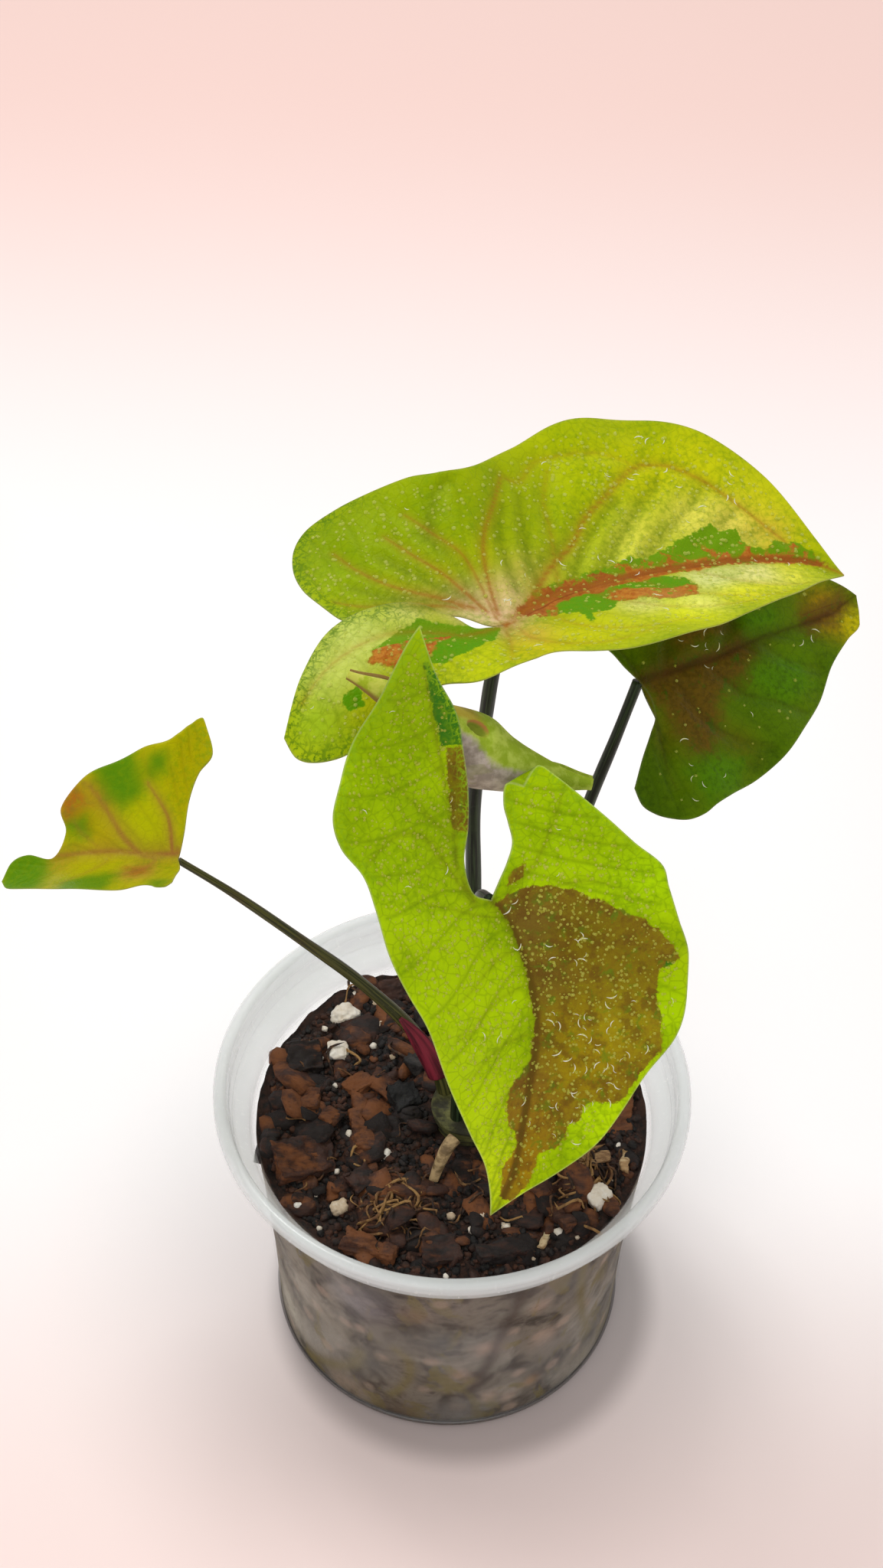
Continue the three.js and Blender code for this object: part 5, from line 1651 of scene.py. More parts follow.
WALL_ROOTS = {
    "dark_root": ((((12.8, 49), (12.3, 44), (11.5, 40), (9.8, 34), (8.1, 24.5), (5, 14)), 1.7),),
    "olive_root": ((((-34, 0), (-31, 4), (-24.6, 9), (-19, 15), (-17.5, 21)), 1.6),
                   (((-9.7, 28), (-7.5, 25), (-7, 20), (-8.4, 14), (-11, 9)), 1.1),
                   (((-3.2, 16), (1, 14), (5, 18)), 0.9),
                   (((26.5, 49), (26.4, 42), (27.5, 33), (30, 22), (33, 13)), 1.2)),
}


@dataclass
class Stem:
    """A petiole or stalk: a long tapered round stem along the curve of its solid."""

    name: str
    node: str
    slot: str
    points: tuple
    radii: Point
    finish: object
    steps: int = 150
    sides: int = 30
    swell: float = 0.03

    def spine(self) -> tuple[np.ndarray, np.ndarray]:
        """The stem's middle line and how far along it each point lies, from 0 to 1."""
        line, length = measured(self.points, 40 * len(self.points))
        wanted = np.linspace(0, length[-1], self.steps + 1)
        return places_at(line, length, wanted), wanted / length[-1]

    def frames(self, line: np.ndarray) -> list[tuple[np.ndarray, np.ndarray]]:
        """Two directions across the stem at each point, carried along without twist.

        Args:
            line: The stem's middle line.

        Returns:
            The pairs of directions.
        """
        tangents = np.gradient(line, axis=0)
        tangents /= np.linalg.norm(tangents, axis=1)[:, None]
        normal = unit(np.cross(tangents[0], (0.3, 0.9, 0.1)))
        pairs = []
        for tangent in tangents:
            normal = unit(normal - tangent * (normal @ tangent))
            pairs.append((normal, np.cross(tangent, normal)))
        return pairs

    def mesh(self) -> bpy.types.Object:
        """The stem, closed at both ends, with slight swellings along it.

        Returns:
            The stem, without its material.
        """
        line, parts = self.spine()
        length = float(np.linalg.norm(np.diff(line, axis=0), axis=1).sum())
        points, plane = [], []
        angles = 2 * np.pi * np.arange(self.sides) / self.sides
        for (first, second), centre, part in zip(self.frames(line), line, parts):
            radius = self.radii[0] + (self.radii[1] - self.radii[0]) * part
            radius *= 1 - self.swell + self.swell * math.sin(0.31 * part * length + 1.3)
            ribs = 1 - 0.012 * (1 + np.cos(7 * angles))
            ring = centre + radius * ribs[:, None] * (
                np.outer(np.cos(angles), first) + np.outer(np.sin(angles), second))
            points.append(ring)
            plane.append(np.column_stack([3 * np.cos(angles), 3 * np.sin(angles),
                                          np.full(self.sides, 0.06 * part * length)]))
        faces = ring_faces(self.steps + 1, self.sides, capped=True)
        return make_mesh(self.name, np.vstack(points), faces, {"plane": np.vstack(plane)})

    def build(self) -> None:
        """Builds the stem, dresses it and seats it."""
        seat(self.mesh(), self.slot, [self.node], self.finish.build())


CUP_OUTSIDE = (
    ("foot", ((-8, 0), (-1.0, 0), (-0.4, 0.2), (0, 0.9), (0.1, 1.6))),
    ("neck", ((0.2, 55.1), (0.65, 55.4), (0.7, 55.8), (0.45, 56.1), (1.3, 57.6), (2.5, 58.8))),
    ("rim", ((-3.2, 59.6), (-2.4, 60.0), (-2.1, 60.6), (-1.9, 63.2), (-1.5, 63.8), (-0.4, 64.2), (-0.1, 64.7),
             (0, 65.4), (-0.1, 66.3), (-0.4, 66.85), (-0.9, 67.15), (-1.6, 67.3))),
)
CUP_INSIDE = (
    ("rim", ((-2.1, 67.1), (-2.5, 66.6), (-2.65, 65.8), (-2.7, 64.4), (-3.0, 64.1), (-2.9, 63.7),
             (-2.75, 63.4), (-2.9, 61.6), (-3.3, 61.2), (-3.4, 60.8), (-3.3, 60.5), (-4.2, 60.1))),
    ("neck", ((1.6, 59.3), (0.8, 58.6), (0.2, 57.6), (0.1, 56.4))),
)


@dataclass
class Cup:
    """The clear nursery cup: foot, tapered wall, flared neck and rolled lip."""

    rim: float = 45
    neck: float = 37.9
    foot: float = 35
    wall: float = 0.4
    floor: float = 0.6
    sides: int = 160
    drain_radius: float = 2
    drain_ring: float = 18
    drains: int = 4

    def stations(self) -> list[tuple[float, float]]:
        """Radius and height of the wall's outside where its taper changes."""
        return [(self.foot + 0.7, 22), (self.foot + 2.1, 44), (self.neck, 54)]

    def profile(self) -> list[tuple[float, float]]:
        """Radius and height all along the outside and back down the inside.

        Returns:
            The profile's corners, from the middle of the foot to the middle of the floor.
        """
        bends = {"foot": self.foot, "neck": self.neck, "rim": self.rim}
        outside, inside = ([(bends[part] + out, height) for part, steps in course for out, height in steps]
                           for course in (CUP_OUTSIDE, CUP_INSIDE))
        foot_steps = len(CUP_OUTSIDE[0][1])
        well = self.foot - self.wall
        return [(0, 0), *outside[:foot_steps], *self.stations(), *outside[foot_steps:], *inside,
                *[(radius - self.wall, height) for radius, height in self.stations()[::-1]],
                (well, self.floor + 0.7), (well - 0.7, self.floor), (0, self.floor)]

    def mesh(self) -> bpy.types.Object:
        """The lathed cup with its drain holes cut through the foot.

        Returns:
            The cup, without its material.
        """
        profile = self.profile()
        angles = 2 * np.pi * np.arange(self.sides) / self.sides
        points = []
        for radius, height in profile:
            points.append(np.column_stack([radius * np.cos(angles), radius * np.sin(angles),
                                           np.full(self.sides, height)]))
        cup = make_mesh("cup_wall", np.vstack(points), ring_faces(len(profile), self.sides))
        drill = self.drill()
        cut = cup.modifiers.new("drains", "BOOLEAN")
        cut.object, cut.operation, cut.solver = drill, "DIFFERENCE", "EXACT"
        mesh = applied(cup)
        cup.modifiers.clear()
        cup.data = mesh
        bpy.data.objects.remove(drill)
        return cup

    def drill(self) -> bpy.types.Object:
        """The rods that cut the drain holes, as one object.

        Returns:
            The rods.
        """
        points, faces, sides = [], [], 24
        for drain in range(self.drains):
            angle = 2 * math.pi * (drain + 0.5) / self.drains
            x, y = self.drain_ring * math.cos(angle), self.drain_ring * math.sin(angle)
            faces += ring_faces(2, sides, len(points), capped=True)
            for height in (-3, 3):
                for turn in (2 * math.pi * side / sides for side in range(sides)):
                    points.append((x + self.drain_radius * math.cos(turn),
                                   y + self.drain_radius * math.sin(turn), height))
        return make_mesh("drill", np.array(points), faces)

    def build(self) -> None:
        """Builds the cup, dresses it and seats it."""
        seat(self.mesh(), "cup", ["nursery_cup"], CupFinish().build())


@dataclass(frozen=True)
class Litter:
    """One kind of small bit that is strewn over the mix, and the forms it comes in."""

    name: str
    slot: str
    finish: str
    density: float
    size: Point
    seed: int
    mask: str
    lean: float
    lift: float
    form_seed: int
    forms: int
    form_size: Point = (1, 1, 1)

    def strew(self, core: bpy.types.Object, forms: list[bpy.types.Object],
              material: bpy.types.Material) -> None:
        """Strews the bits over a copy of the mix's core and seats them.

        Args:
            core: The core.
            forms: The bits' forms.
            material: Their material.
        """
        ground = shown(f"{self.name}_ground", core.data.copy())
        bits = Scatter(self.name, forms, self.density, self.size, self.seed, self.mask, material, self.lean,
                       self.lift)
        seat(bits.build(ground), self.slot, [])


LITTER = (
    Litter("mix_crumbs", "mix", "soil", 0.9, (0.3, 1.0), 5, "strewn", 0.9, 0.0, 31, 4, (1.0, 0.75, 0.6)),
    Litter("mix_bark_bits", "bark", "bark", 0.05, (0.7, 2.2), 9, "strewn", 0.7, 0.1, 51, 4, (1.6, 1.0, 0.55)),
    Litter("mix_bark_plates", "bark", "bark", 0.016, (2.0, 3.4), 21, "inner", 0.45, -0.3, 91, 5,
           (1.6, 1.1, 0.5)),
    Litter("mix_grit", "perlite", "perlite", 0.014, (0.3, 0.9), 12, "strewn", 0.8, 0.3, 71, 3,
           (1.0, 0.9, 0.85)),
)
FIBRES = Litter("mix_fibres", "wood", "fibre", 0.8, (1.2, 3.0), 15, "tufts", 0.6, 0.6, 3, 3)


@dataclass
class GrowingMix:
    """The mix in the cup: a lumpy core with crumbs, bark bits, grit and fibres strewn over it."""

    cup: Cup
    level: float = 56
    relief: float = 1.1
    gap: float = 0.1
    clearance: float = 0.2
    rings: int = 90
    sectors: int = 300
    tuft_places: tuple = ((-9.6, -21.4), (24.5, -13.5))

    def level_at(self, x: np.ndarray, y: np.ndarray) -> np.ndarray:
        """The level of the mix at each place, as its solid has it."""
        swell = np.sin(0.21 * x + 0.9) * np.cos(0.19 * y - 0.4)
        lumps = np.sin(0.55 * x + 0.3 * y) * np.sin(0.47 * y - 0.2 * x + 1.1)
        return self.level + self.relief * (0.6 * swell + 0.4 * lumps)

    def core(self) -> bpy.types.Object:
        """The core's mesh. It carries where its side is and where the strewn bits may lie.

        Returns:
            The core, without its material.
        """
        cup = self.cup
        bottom = cup.floor + self.clearance
        foot = cup.foot - cup.wall - self.gap
        walls = [*[(foot * part, bottom) for part in (0.02, 0.35, 0.7)],
                 (foot - 0.8, bottom), (foot, bottom + 0.8)]
        heights = np.linspace(bottom + 2, 54, 40)
        knots = [(cup.foot, bottom), *cup.stations()]
        radii = np.interp(heights, [height for _, height in knots], [radius for radius, _ in knots])
        walls += [(radius - cup.wall - self.gap, height) for radius, height in zip(radii, heights)]
        angles = 2 * np.pi * np.arange(self.sectors) / self.sectors
        points = []
        for radius, height in walls:
            points += [(radius * math.cos(a), radius * math.sin(a), height) for a in angles]
        reach = cup.neck - cup.wall - 2 * self.gap
        for ring in range(self.rings, 0, -1):
            radius = reach * ring / self.rings
            x, y = radius * np.cos(angles), radius * np.sin(angles)
            for px, py, pz in zip(x, y, self.level_at(x, y)):
                crumb = noise.fractal(Vector((px, py, 3.0)) * 0.33, 1.0, 2.1, 4)
                points.append((px, py, pz + 0.75 * crumb - 0.45 * (ring < self.rings)))
        points.append((0, 0, float(self.level_at(np.zeros(1), np.zeros(1))[0]) - 0.4))
        rows = len(walls) + self.rings
        faces = [tuple(range(self.sectors))[::-1], *ring_faces(rows, self.sectors)]
        start = (rows - 1) * self.sectors
        faces += [(start + sector, start + (sector + 1) % self.sectors, rows * self.sectors)
                  for sector in range(self.sectors)]
        cloud = np.array(points)
        ring = np.repeat(np.arange(rows), self.sectors)
        side = np.append((ring < len(walls)).astype(float), 0)
        strewn = np.append((ring > len(walls) + 3).astype(float), 1)
        away = np.hypot(cloud[:, 0] - 3.2, cloud[:, 1] + 0.6)
        strewn *= away > 7.4
        inner = strewn * (np.hypot(cloud[:, 0], cloud[:, 1]) < reach - 5.5)
        spread = np.column_stack([35 * np.arctan2(cloud[:, 0], -cloud[:, 1]), cloud[:, 2]])
        tint, share = tint_field(spread, WALL_TINTS)
        roots = {key: np.zeros(len(cloud)) for key in WALL_ROOTS}
        for key, courses in WALL_ROOTS.items():
            for course, width in courses:
                gap = line_distance(spread, through_stations(course, 6))
                roots[key] = np.maximum(roots[key], 0.8 * np.exp(-((gap / width) ** 2)))
        tufts = np.full(len(cloud), 0.02)
        for x, y in self.tuft_places:
            tufts = np.maximum(tufts, np.exp(-((np.hypot(cloud[:, 0] - x, cloud[:, 1] - y) / 4.5) ** 2)))
        return make_mesh("mix_core", cloud, faces, {
            "side": side, "strewn": strewn, "tufts": tufts * strewn, "inner": inner, "tint": tint,
            "tint_share": share, **roots})

    def build(self, finishes: dict[str, bpy.types.Material]) -> None:
        """Builds the core and what is strewn over it.

        Args:
            finishes: The loose bits' materials by kind.
        """
        core = self.core()
        for litter in LITTER:
            forms = [lump_form(f"{litter.name}_form_{index}", litter.form_seed + index, litter.form_size)
                     for index in range(litter.forms)]
            litter.strew(core, forms, finishes[litter.finish])
        strands = [fibre_form(f"fibre_form_{index}", FIBRES.form_seed + index)
                   for index in range(FIBRES.forms)]
        FIBRES.strew(core, strands, finishes[FIBRES.finish])
        seat(core, "mix", ["growing_mix"], MixFinish().build())


def lump_form(name: str, seed: int, size: Point) -> bpy.types.Object:
    """A small rough lump about two millimetres across before it is sized.

    Args:
        name: The form's name.
        seed: What its roughness is drawn from.
        size: Its half length, half width and half height.

    Returns:
        The form.
    """
    mesh = bpy.data.meshes.new(name)
    edit = bmesh.new()
    bmesh.ops.create_icosphere(edit, subdivisions=2, radius=1)
    for vertex in edit.verts:
        spot = vertex.co.normalized()
        lump = 1 + 0.32 * noise.fractal(spot * 1.3 + Vector((seed, 0, 0)), 1.0, 2.0, 3)
        flat = max(abs(spot.x), abs(spot.y), abs(spot.z)) ** 0.6
        vertex.co = Vector([MM * lump / flat * part * half for part, half in zip(spot, size)])
    edit.to_mesh(mesh)
    edit.free()
    return shown(name, mesh)


def fibre_form(name: str, seed: int) -> bpy.types.Object:
    """A thin strand about three millimetres long that bends out of the plane.

    Args:
        name: The form's name.
        seed: What its bend starts from.

    Returns:
        The form.
    """
    rings, sides = 9, 5
    points = [(-1.6, 0.0, -0.3)]
    for ring in range(1, rings + 1):
        part = ring / (rings + 1)
        middle = np.array([3.2 * part - 1.6, 0.6 * math.sin(2.1 * part * math.pi + seed),
                           0.6 * math.sin(math.pi * part) - 0.25])
        for side in range(sides):
            angle = 2 * math.pi * side / sides
            points.append(tuple(middle + 0.11 * np.array([0, math.cos(angle), math.sin(angle)])))
    points.append((1.6, 0.6 * math.sin(2.1 * math.pi + seed), -0.3))
    return fan_solid(name, points, rings, sides)


class ChipKind(Enum):
    """What a loose chip is made of."""

    BARK = "bark"
    CHARCOAL = "charcoal"
    PERLITE = "perlite"
    WOOD = "wood"


@dataclass
class Chip:
    """A loose chip: its solid's block, remeshed fine and roughened."""

    node: str
    kind: ChipKind
    tone: float = 0.5
    voxel: float = 0.3
    rough: float = 0.35

    def mesh(self) -> bpy.types.Object:
        """The roughened chip, in the place of its solid.

        Returns:
            The chip, without its material.
        """
        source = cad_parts[self.node]
        edit = bmesh.new()
        edit.from_mesh(source.data)
        bmesh.ops.remove_doubles(edit, verts=edit.verts, dist=1e-6)
        block = bpy.data.meshes.new(f"{self.node}_block")
        edit.to_mesh(block)
        edit.free()
        piece = shown(f"{self.node}_rough", block)
        shape = piece.modifiers.new("voxels", "REMESH")
        shape.mode, shape.voxel_size = "VOXEL", self.voxel * MM
        worn = piece.modifiers.new("worn", "SMOOTH")
        worn.factor, worn.iterations = 0.6, 60 if self.kind is ChipKind.PERLITE else 6
        mesh = applied(piece)
        piece.modifiers.clear()
        piece.data = mesh
        self.roughen(mesh)
        return piece

    def roughen(self, mesh: bpy.types.Mesh) -> None:
        """Moves each vertex in by noise: layers in bark and wood, pits in perlite.

        Args:
            mesh: The chip's mesh.
        """
        count = len(mesh.vertices)
        spots, normals = np.zeros(3 * count), np.zeros(3 * count)
        mesh.vertices.foreach_get("co", spots)
        mesh.vertices.foreach_get("normal", normals)
        spots, normals = spots.reshape(-1, 3), normals.reshape(-1, 3)
        layered = self.kind in (ChipKind.BARK, ChipKind.WOOD)
        stretch = np.array((0.35, 0.8, 1.6)) if layered else np.array((0.9, 0.9, 0.9))
        depth = np.empty(count)
        for index, spot in enumerate(spots / MM):
            broad = noise.fractal(Vector(spot * 0.35), 1.0, 2.0, 2)
            fine = noise.fractal(Vector(spot * stretch), 0.9, 2.1, 4)
            depth[index] = min(0.55 * broad + self.rough * fine - 0.25, 0.1)
        moved = spots + normals * depth[:, None] * MM
        mesh.vertices.foreach_set("co", moved.ravel())
        tone = mesh.attributes.new("tone", "FLOAT", "POINT")
        tone.data.foreach_set("value", np.full(count, self.tone, np.float32))
        mesh.polygons.foreach_set("use_smooth", [True] * len(mesh.polygons))
        mesh.update()

    def build(self, finishes: dict[str, bpy.types.Material]) -> None:
        """Builds the chip, dresses it and seats it."""
        seat(self.mesh(), self.kind.value, [self.node], finishes[self.kind.value])


@dataclass
class RolledLeaf:
    """The new leaf, a sheet rolled up on itself around a bowed line."""

    spine: tuple = ((-17.7, -6.1, 177.1), (-12.4, -7.7, 175.5), (-5.8, -8.2, 170.1), (0.9, -6.2, 161.6),
                    (7.0, -6.7, 158.4), (13.1, -6.9, 156.8), (20.6, -7.3, 155.7))
    radii: tuple = (0.9, 2.2, 3.4, 6.2, 4.7, 2.9, 1.2)
    start: float = -0.5
    turn: float = 6.1
    pitch: float = 1.3
    thickness: float = 0.6
    mouth_place: Point = (0.435, -2.72)
    mouth_depth: float = 0.9
    row_steps: int = 18
    columns: int = 110

    def grid(self, inset: float) -> np.ndarray:
        """Points of the sheet's outer or inner face.

        Args:
            inset: How far the face lies inside the outer one.

        Returns:
            The points, rows along the roll and columns around it.
        """
        radii = through_stations(list(enumerate(self.radii)), self.row_steps)[:, 1]
        parts = np.linspace(0, 1, len(radii))
        line = centripetal(self.spine, parts)
        ahead = centripetal(self.spine, np.clip(parts + 1e-4, 0, 1))
        behind = centripetal(self.spine, np.clip(parts - 1e-4, 0, 1))
        around = np.linspace(0, 1, self.columns + 1)
        rows = []
        for centre, forward, back, radius in zip(line, ahead, behind, radii):
            side, up = cross_axes(unit(forward - back))
            loose = float(smoothstep(0.8, 4, np.array(radius)))
            angle = self.start + self.turn * (0.8 + 0.2 * loose) * (around - 0.5)
            shrink = self.pitch * around * float(smoothstep(2, 4, np.array(radius)))
            reach = np.maximum(radius - shrink - inset, 0.12)
            rows.append(centre + np.outer(reach * np.sin(angle), side) - np.outer(reach * np.cos(angle), up))
        return np.array(rows)

    def angles(self) -> np.ndarray:
        """The angle around the roll of each grid point, 0 below and near 3 on top.

        Returns:
            One row of angles for each row of the grid.
        """
        radii = through_stations(list(enumerate(self.radii)), self.row_steps)[:, 1]
        loose = smoothstep(0.8, 4, radii)
        around = np.linspace(0, 1, self.columns + 1) - 0.5
        return self.start + self.turn * (0.8 + 0.2 * loose)[:, None] * around[None, :]

    def mouth(self, along: np.ndarray, angle: np.ndarray) -> np.ndarray:
        """How deep each place lies in the small hollow where the roll's edge turns in.

        Args:
            along: Places along the roll.
            angle: Angles around it.

        Returns:
            Parts from 0 to 1.
        """
        away = np.hypot((along - self.mouth_place[0]) / 0.032, (angle - self.mouth_place[1]) / 0.24)
        return 1 - smoothstep(0.7, 1.15, away)

    def mesh(self) -> bpy.types.Object:
        """The closed rolled sheet. Each vertex carries its place along, its angle and its face.

        Returns:
            The rolled sheet, without its material.
        """
        angles = self.angles()
        rows, columns = angles.shape
        mouth = self.mouth(np.linspace(0, 1, rows)[:, None], angles)
        outer = self.grid(0) + (self.grid(self.mouth_depth) - self.grid(0)) * mouth[:, :, None]
        inner = self.grid(self.thickness + self.mouth_depth * 0.5)
        along = np.repeat(np.linspace(0, 1, rows), columns)
        fields = {"along": np.tile(along, 2), "angle": np.tile(angles.ravel(), 2),
                  "mouth": np.tile(mouth.ravel(), 2), "outside": np.repeat([1.0, 0.0], rows * columns)}
        points = np.vstack([outer.reshape(-1, 3), inner.reshape(-1, 3)])
        piece = make_mesh("rolled_leaf", points, slab_faces(rows, columns), fields)
        turn_outward(piece)
        return piece

    def finish(self) -> bpy.types.Material:
        """Lime on top, a downy grey-pink belly, and orange where the roll opens.

        Returns:
            The material.
        """
        paint = Paint("rolled leaf")
        angle, along = paint.attribute("angle"), paint.attribute("along")
        mottle = paint.noise(paint.place(), 0.5, 4, 0.6)
        down = paint.noise(paint.place(), 2.6, 4, 0.7)
        veins = paint.noise(paint.place((0.4, 1, 1)), 0.5, 3, 0.5, 0.5)
        belly = paint.mix(paint.ramp(mottle, 0.35, 0.65), "#8f8478", "#b9ada0")
        belly = paint.mix(paint.ramp(veins, 0.5, 0.6, 0, 0.5), belly, "#8a8a5c")
        lime = paint.mix(paint.ramp(mottle, 0.4, 0.65), "#93ab22", "#b4c64c")
        edge = paint.plus(angle, paint.times(paint.math("SUBTRACT", mottle, 0.5), 0.5))
        tone = paint.mix(paint.ramp(edge, -2.1, -2.4), belly, lime)
        yellow = paint.mix(paint.ramp(mottle, 0.4, 0.6), "#c9cc54", "#a3b520")
        # Painted shade: the tip turns brown-olive where its angle is above -1.4, round its underside.
        shaded = paint.mix(paint.ramp(angle, -1.9, -1.4), yellow, "#8c6f34")
        tone = paint.mix(paint.ramp(along, 0.34, 0.28), tone, shaded)
        crest = paint.times(paint.ramp(along, 0.3, 0.36), paint.ramp(along, 0.47, 0.42))
        high = paint.times(crest, paint.larger(paint.ramp(angle, -2.7, -3.0),
                                                         paint.ramp(angle, 1.2, 1.6)))
        tone = paint.mix(paint.times(high, 0.85), tone, "#a8902a")
        tone = paint.mix(paint.ramp(along, 0.74, 0.82), tone, lime)
        mouth = paint.attribute("mouth")
        crest_side = paint.ramp(angle, -2.66, -2.9, 0.15, 1)
        tone = paint.mix(paint.times(paint.ramp(mouth, 0.02, 0.25), crest_side), tone, "#b27a3c")
        tone = paint.mix(paint.ramp(mouth, 0.3, 0.9), tone, "#7c8a1e")
        opening = paint.mix(paint.ramp(mottle, 0.4, 0.6), "#a2481c", "#c07a2c")
        middle = paint.times(paint.ramp(along, 0.3, 0.4), paint.ramp(along, 0.66, 0.56))
        inside = paint.times(paint.ramp(paint.attribute("outside"), 0.6, 0.4), middle)
        tone = paint.mix(inside, tone, opening)
        paint.bump(down, 0.12, 0.8)
        return paint.finish(tone, paint.ramp(down, 0.3, 0.7, 0.5, 0.72), Sheen_Weight=0.06,
                            Specular_IOR_Level=0.15,
                            Subsurface_Weight=0.2, Subsurface_Radius=(1.0, 0.9, 0.5), Subsurface_Scale=0.0015)

    def build(self) -> None:
        """Builds the rolled leaf, dresses it and seats it."""
        seat(self.mesh(), "rolled_blade", ["new_leaf_rolled"], self.finish())


@dataclass
class Sheath:
    """The thin sheath that hugs the foot of the left petiole."""

    points: tuple
    radii: Point
    start: float = 0.1
    end: float = 0.3
    thickness: float = 0.5
    clearance: float = 0.35
    spread: float = 1.35
    middle: float = 2.3
    rows: int = 60
    columns: int = 24

    def grid(self, extra: float) -> np.ndarray:
        """Points of the sheath's outer or inner face.

        Args:
            extra: How far the face lies outside the inner one.

        Returns:
            The points, rows along the sheath and columns around it.
        """
        line, length = measured(self.points, 400)
        rows = []
        for part in np.linspace(0, 1, self.rows + 1):
            along = self.start + (self.end - self.start) * part
            wanted = np.array((along - 0.004, along, along + 0.004)) * length[-1]
            before, centre, after = places_at(line, length, wanted)
            side, up = cross_axes(unit(after - before))
            reach = self.radii[0] + (self.radii[1] - self.radii[0]) * along + self.clearance + extra
            spread = self.spread * (1 - 0.85 * part**1.6)
            angle = self.middle + spread * np.linspace(-1, 1, self.columns + 1)
            rows.append(centre + reach * (np.outer(np.sin(angle), side) - np.outer(np.cos(angle), up)))
        return np.array(rows)

    def build(self) -> None:
        """Builds the sheath, dresses it and seats it."""
        outer, inner = self.grid(self.thickness), self.grid(0)
        rows, columns = outer.shape[:2]
        across = np.tile(np.linspace(0, 4, columns), rows)
        along = np.repeat(np.linspace(0, 1, rows), columns)
        plane = np.column_stack([across, 0 * across, along])
        points = np.vstack([outer.reshape(-1, 3), inner.reshape(-1, 3)])
        piece = make_mesh("sheath", points, slab_faces(rows, columns), {"plane": np.vstack([plane, plane])})
        turn_outward(piece)
        skin = StemFinish("sheath skin", "#4a1420", "#8a2a3a", "#6a3a2a", 0.4)
        seat(piece, "sheath", ["petiole_sheath"], skin.build())


@dataclass(frozen=True)
class RootFinish:
    """Ringed bark on the crown, or down on the root."""

    name: str
    dark: str
    light: str
    ring_scale: float

    def build(self) -> bpy.types.Material:
        """The material, with rings across the stem.

        Returns:
            The material.
        """
        paint = Paint(self.name)
        rings = paint.noise(paint.place((0.3, 0.3, self.ring_scale)), 0.8, 4, 0.6)
        cloud = paint.noise(paint.place(), 0.5, 4, 0.65)
        tone = paint.mix(paint.ramp(rings, 0.4, 0.6), self.dark, self.light)
        tone = paint.mix(paint.ramp(cloud, 0.5, 0.7, 0, 0.5), tone, self.dark)
        paint.bump(paint.plus(rings, cloud), 0.3, 0.9)
        return paint.finish(tone, paint.ramp(cloud, 0.3, 0.7, 0.6, 0.85))


@dataclass
class Studio:
    """A pale floor, soft lights and the camera at the photograph's viewing angle."""

    focal: float = 52.73
    place: Point = (-3.2, -260.4, 415.9)
    pitch: float = 45.9
    roll: float = -1.16
    floor_size: float = 3000

    def camera(self) -> None:
        """Sets the camera up. Its image is upright, and its long side sets the field of view."""
        data = bpy.data.cameras.new("camera")
        data.lens, data.sensor_width, data.sensor_fit = self.focal, 36, "AUTO"
        data.clip_start, data.clip_end = 0.01, 50
        eye = bpy.data.objects.new("camera", data)
        pitch, roll = math.radians(self.pitch), math.radians(self.roll)
        ahead = np.array((0, math.cos(pitch), -math.sin(pitch)))
        level = np.array((0, math.sin(pitch), math.cos(pitch)))
        right = np.array((math.cos(roll), 0, 0)) - level * math.sin(roll)
        upward = level * math.cos(roll) + np.array((math.sin(roll), 0, 0))
        axes = Matrix([list(row) for row in np.column_stack([right, upward, -ahead])])
        eye.matrix_world = Matrix.Translation(Vector(self.place) * MM) @ axes.to_4x4()
        bpy.context.scene.collection.objects.link(eye)
        bpy.context.scene.camera = eye

    def lamp(self, name: str, place: Point, size: float, power: float) -> None:
        """Adds a square soft light that looks at the plant.

        Args:
            name: The light's name.
            place: Where it hangs, in millimetres.
            size: The length of its side in millimetres.
            power: Its power in watts.
        """
        data = bpy.data.lights.new(name, "AREA")
        data.size, data.energy = size * MM, power
        lamp = bpy.data.objects.new(name, data)
        lamp.location = Vector(place) * MM
        lamp.rotation_euler = (Vector((0, 0, 0.1)) - lamp.location).to_track_quat("-Z", "Y").to_euler()
        bpy.context.scene.collection.objects.link(lamp)

    def floor(self) -> None:
        """Lays the floor."""
        half = self.floor_size / 2
        corners = np.array([(-half, -half, 0), (half, -half, 0), (half, half, 0), (-half, half, 0)], float)
        piece = make_mesh("floor", corners, [(0, 1, 2, 3)])
        piece.data.materials.append(FloorFinish().build())

    def build(self) -> None:
        """Builds the whole studio."""
        scene = bpy.context.scene
        scene.view_settings.view_transform = "Standard"
        world = bpy.data.worlds.new("studio light")
        world.use_nodes = True
        world.node_tree.nodes["Background"].inputs[0].default_value = (1.0, 0.985, 0.98, 1)
        world.node_tree.nodes["Background"].inputs[1].default_value = 0.66
        scene.world = world
        self.camera()
        self.floor()
        self.lamp("soft_key", (-250, 330, 900), 260, 2.6)
        self.lamp("soft_fill", (450, -200, 700), 600, 0.3)
        self.lamp("soft_front", (-200, -600, 420), 300, 0.5)
        LOG.info("studio: camera, floor and three lights")


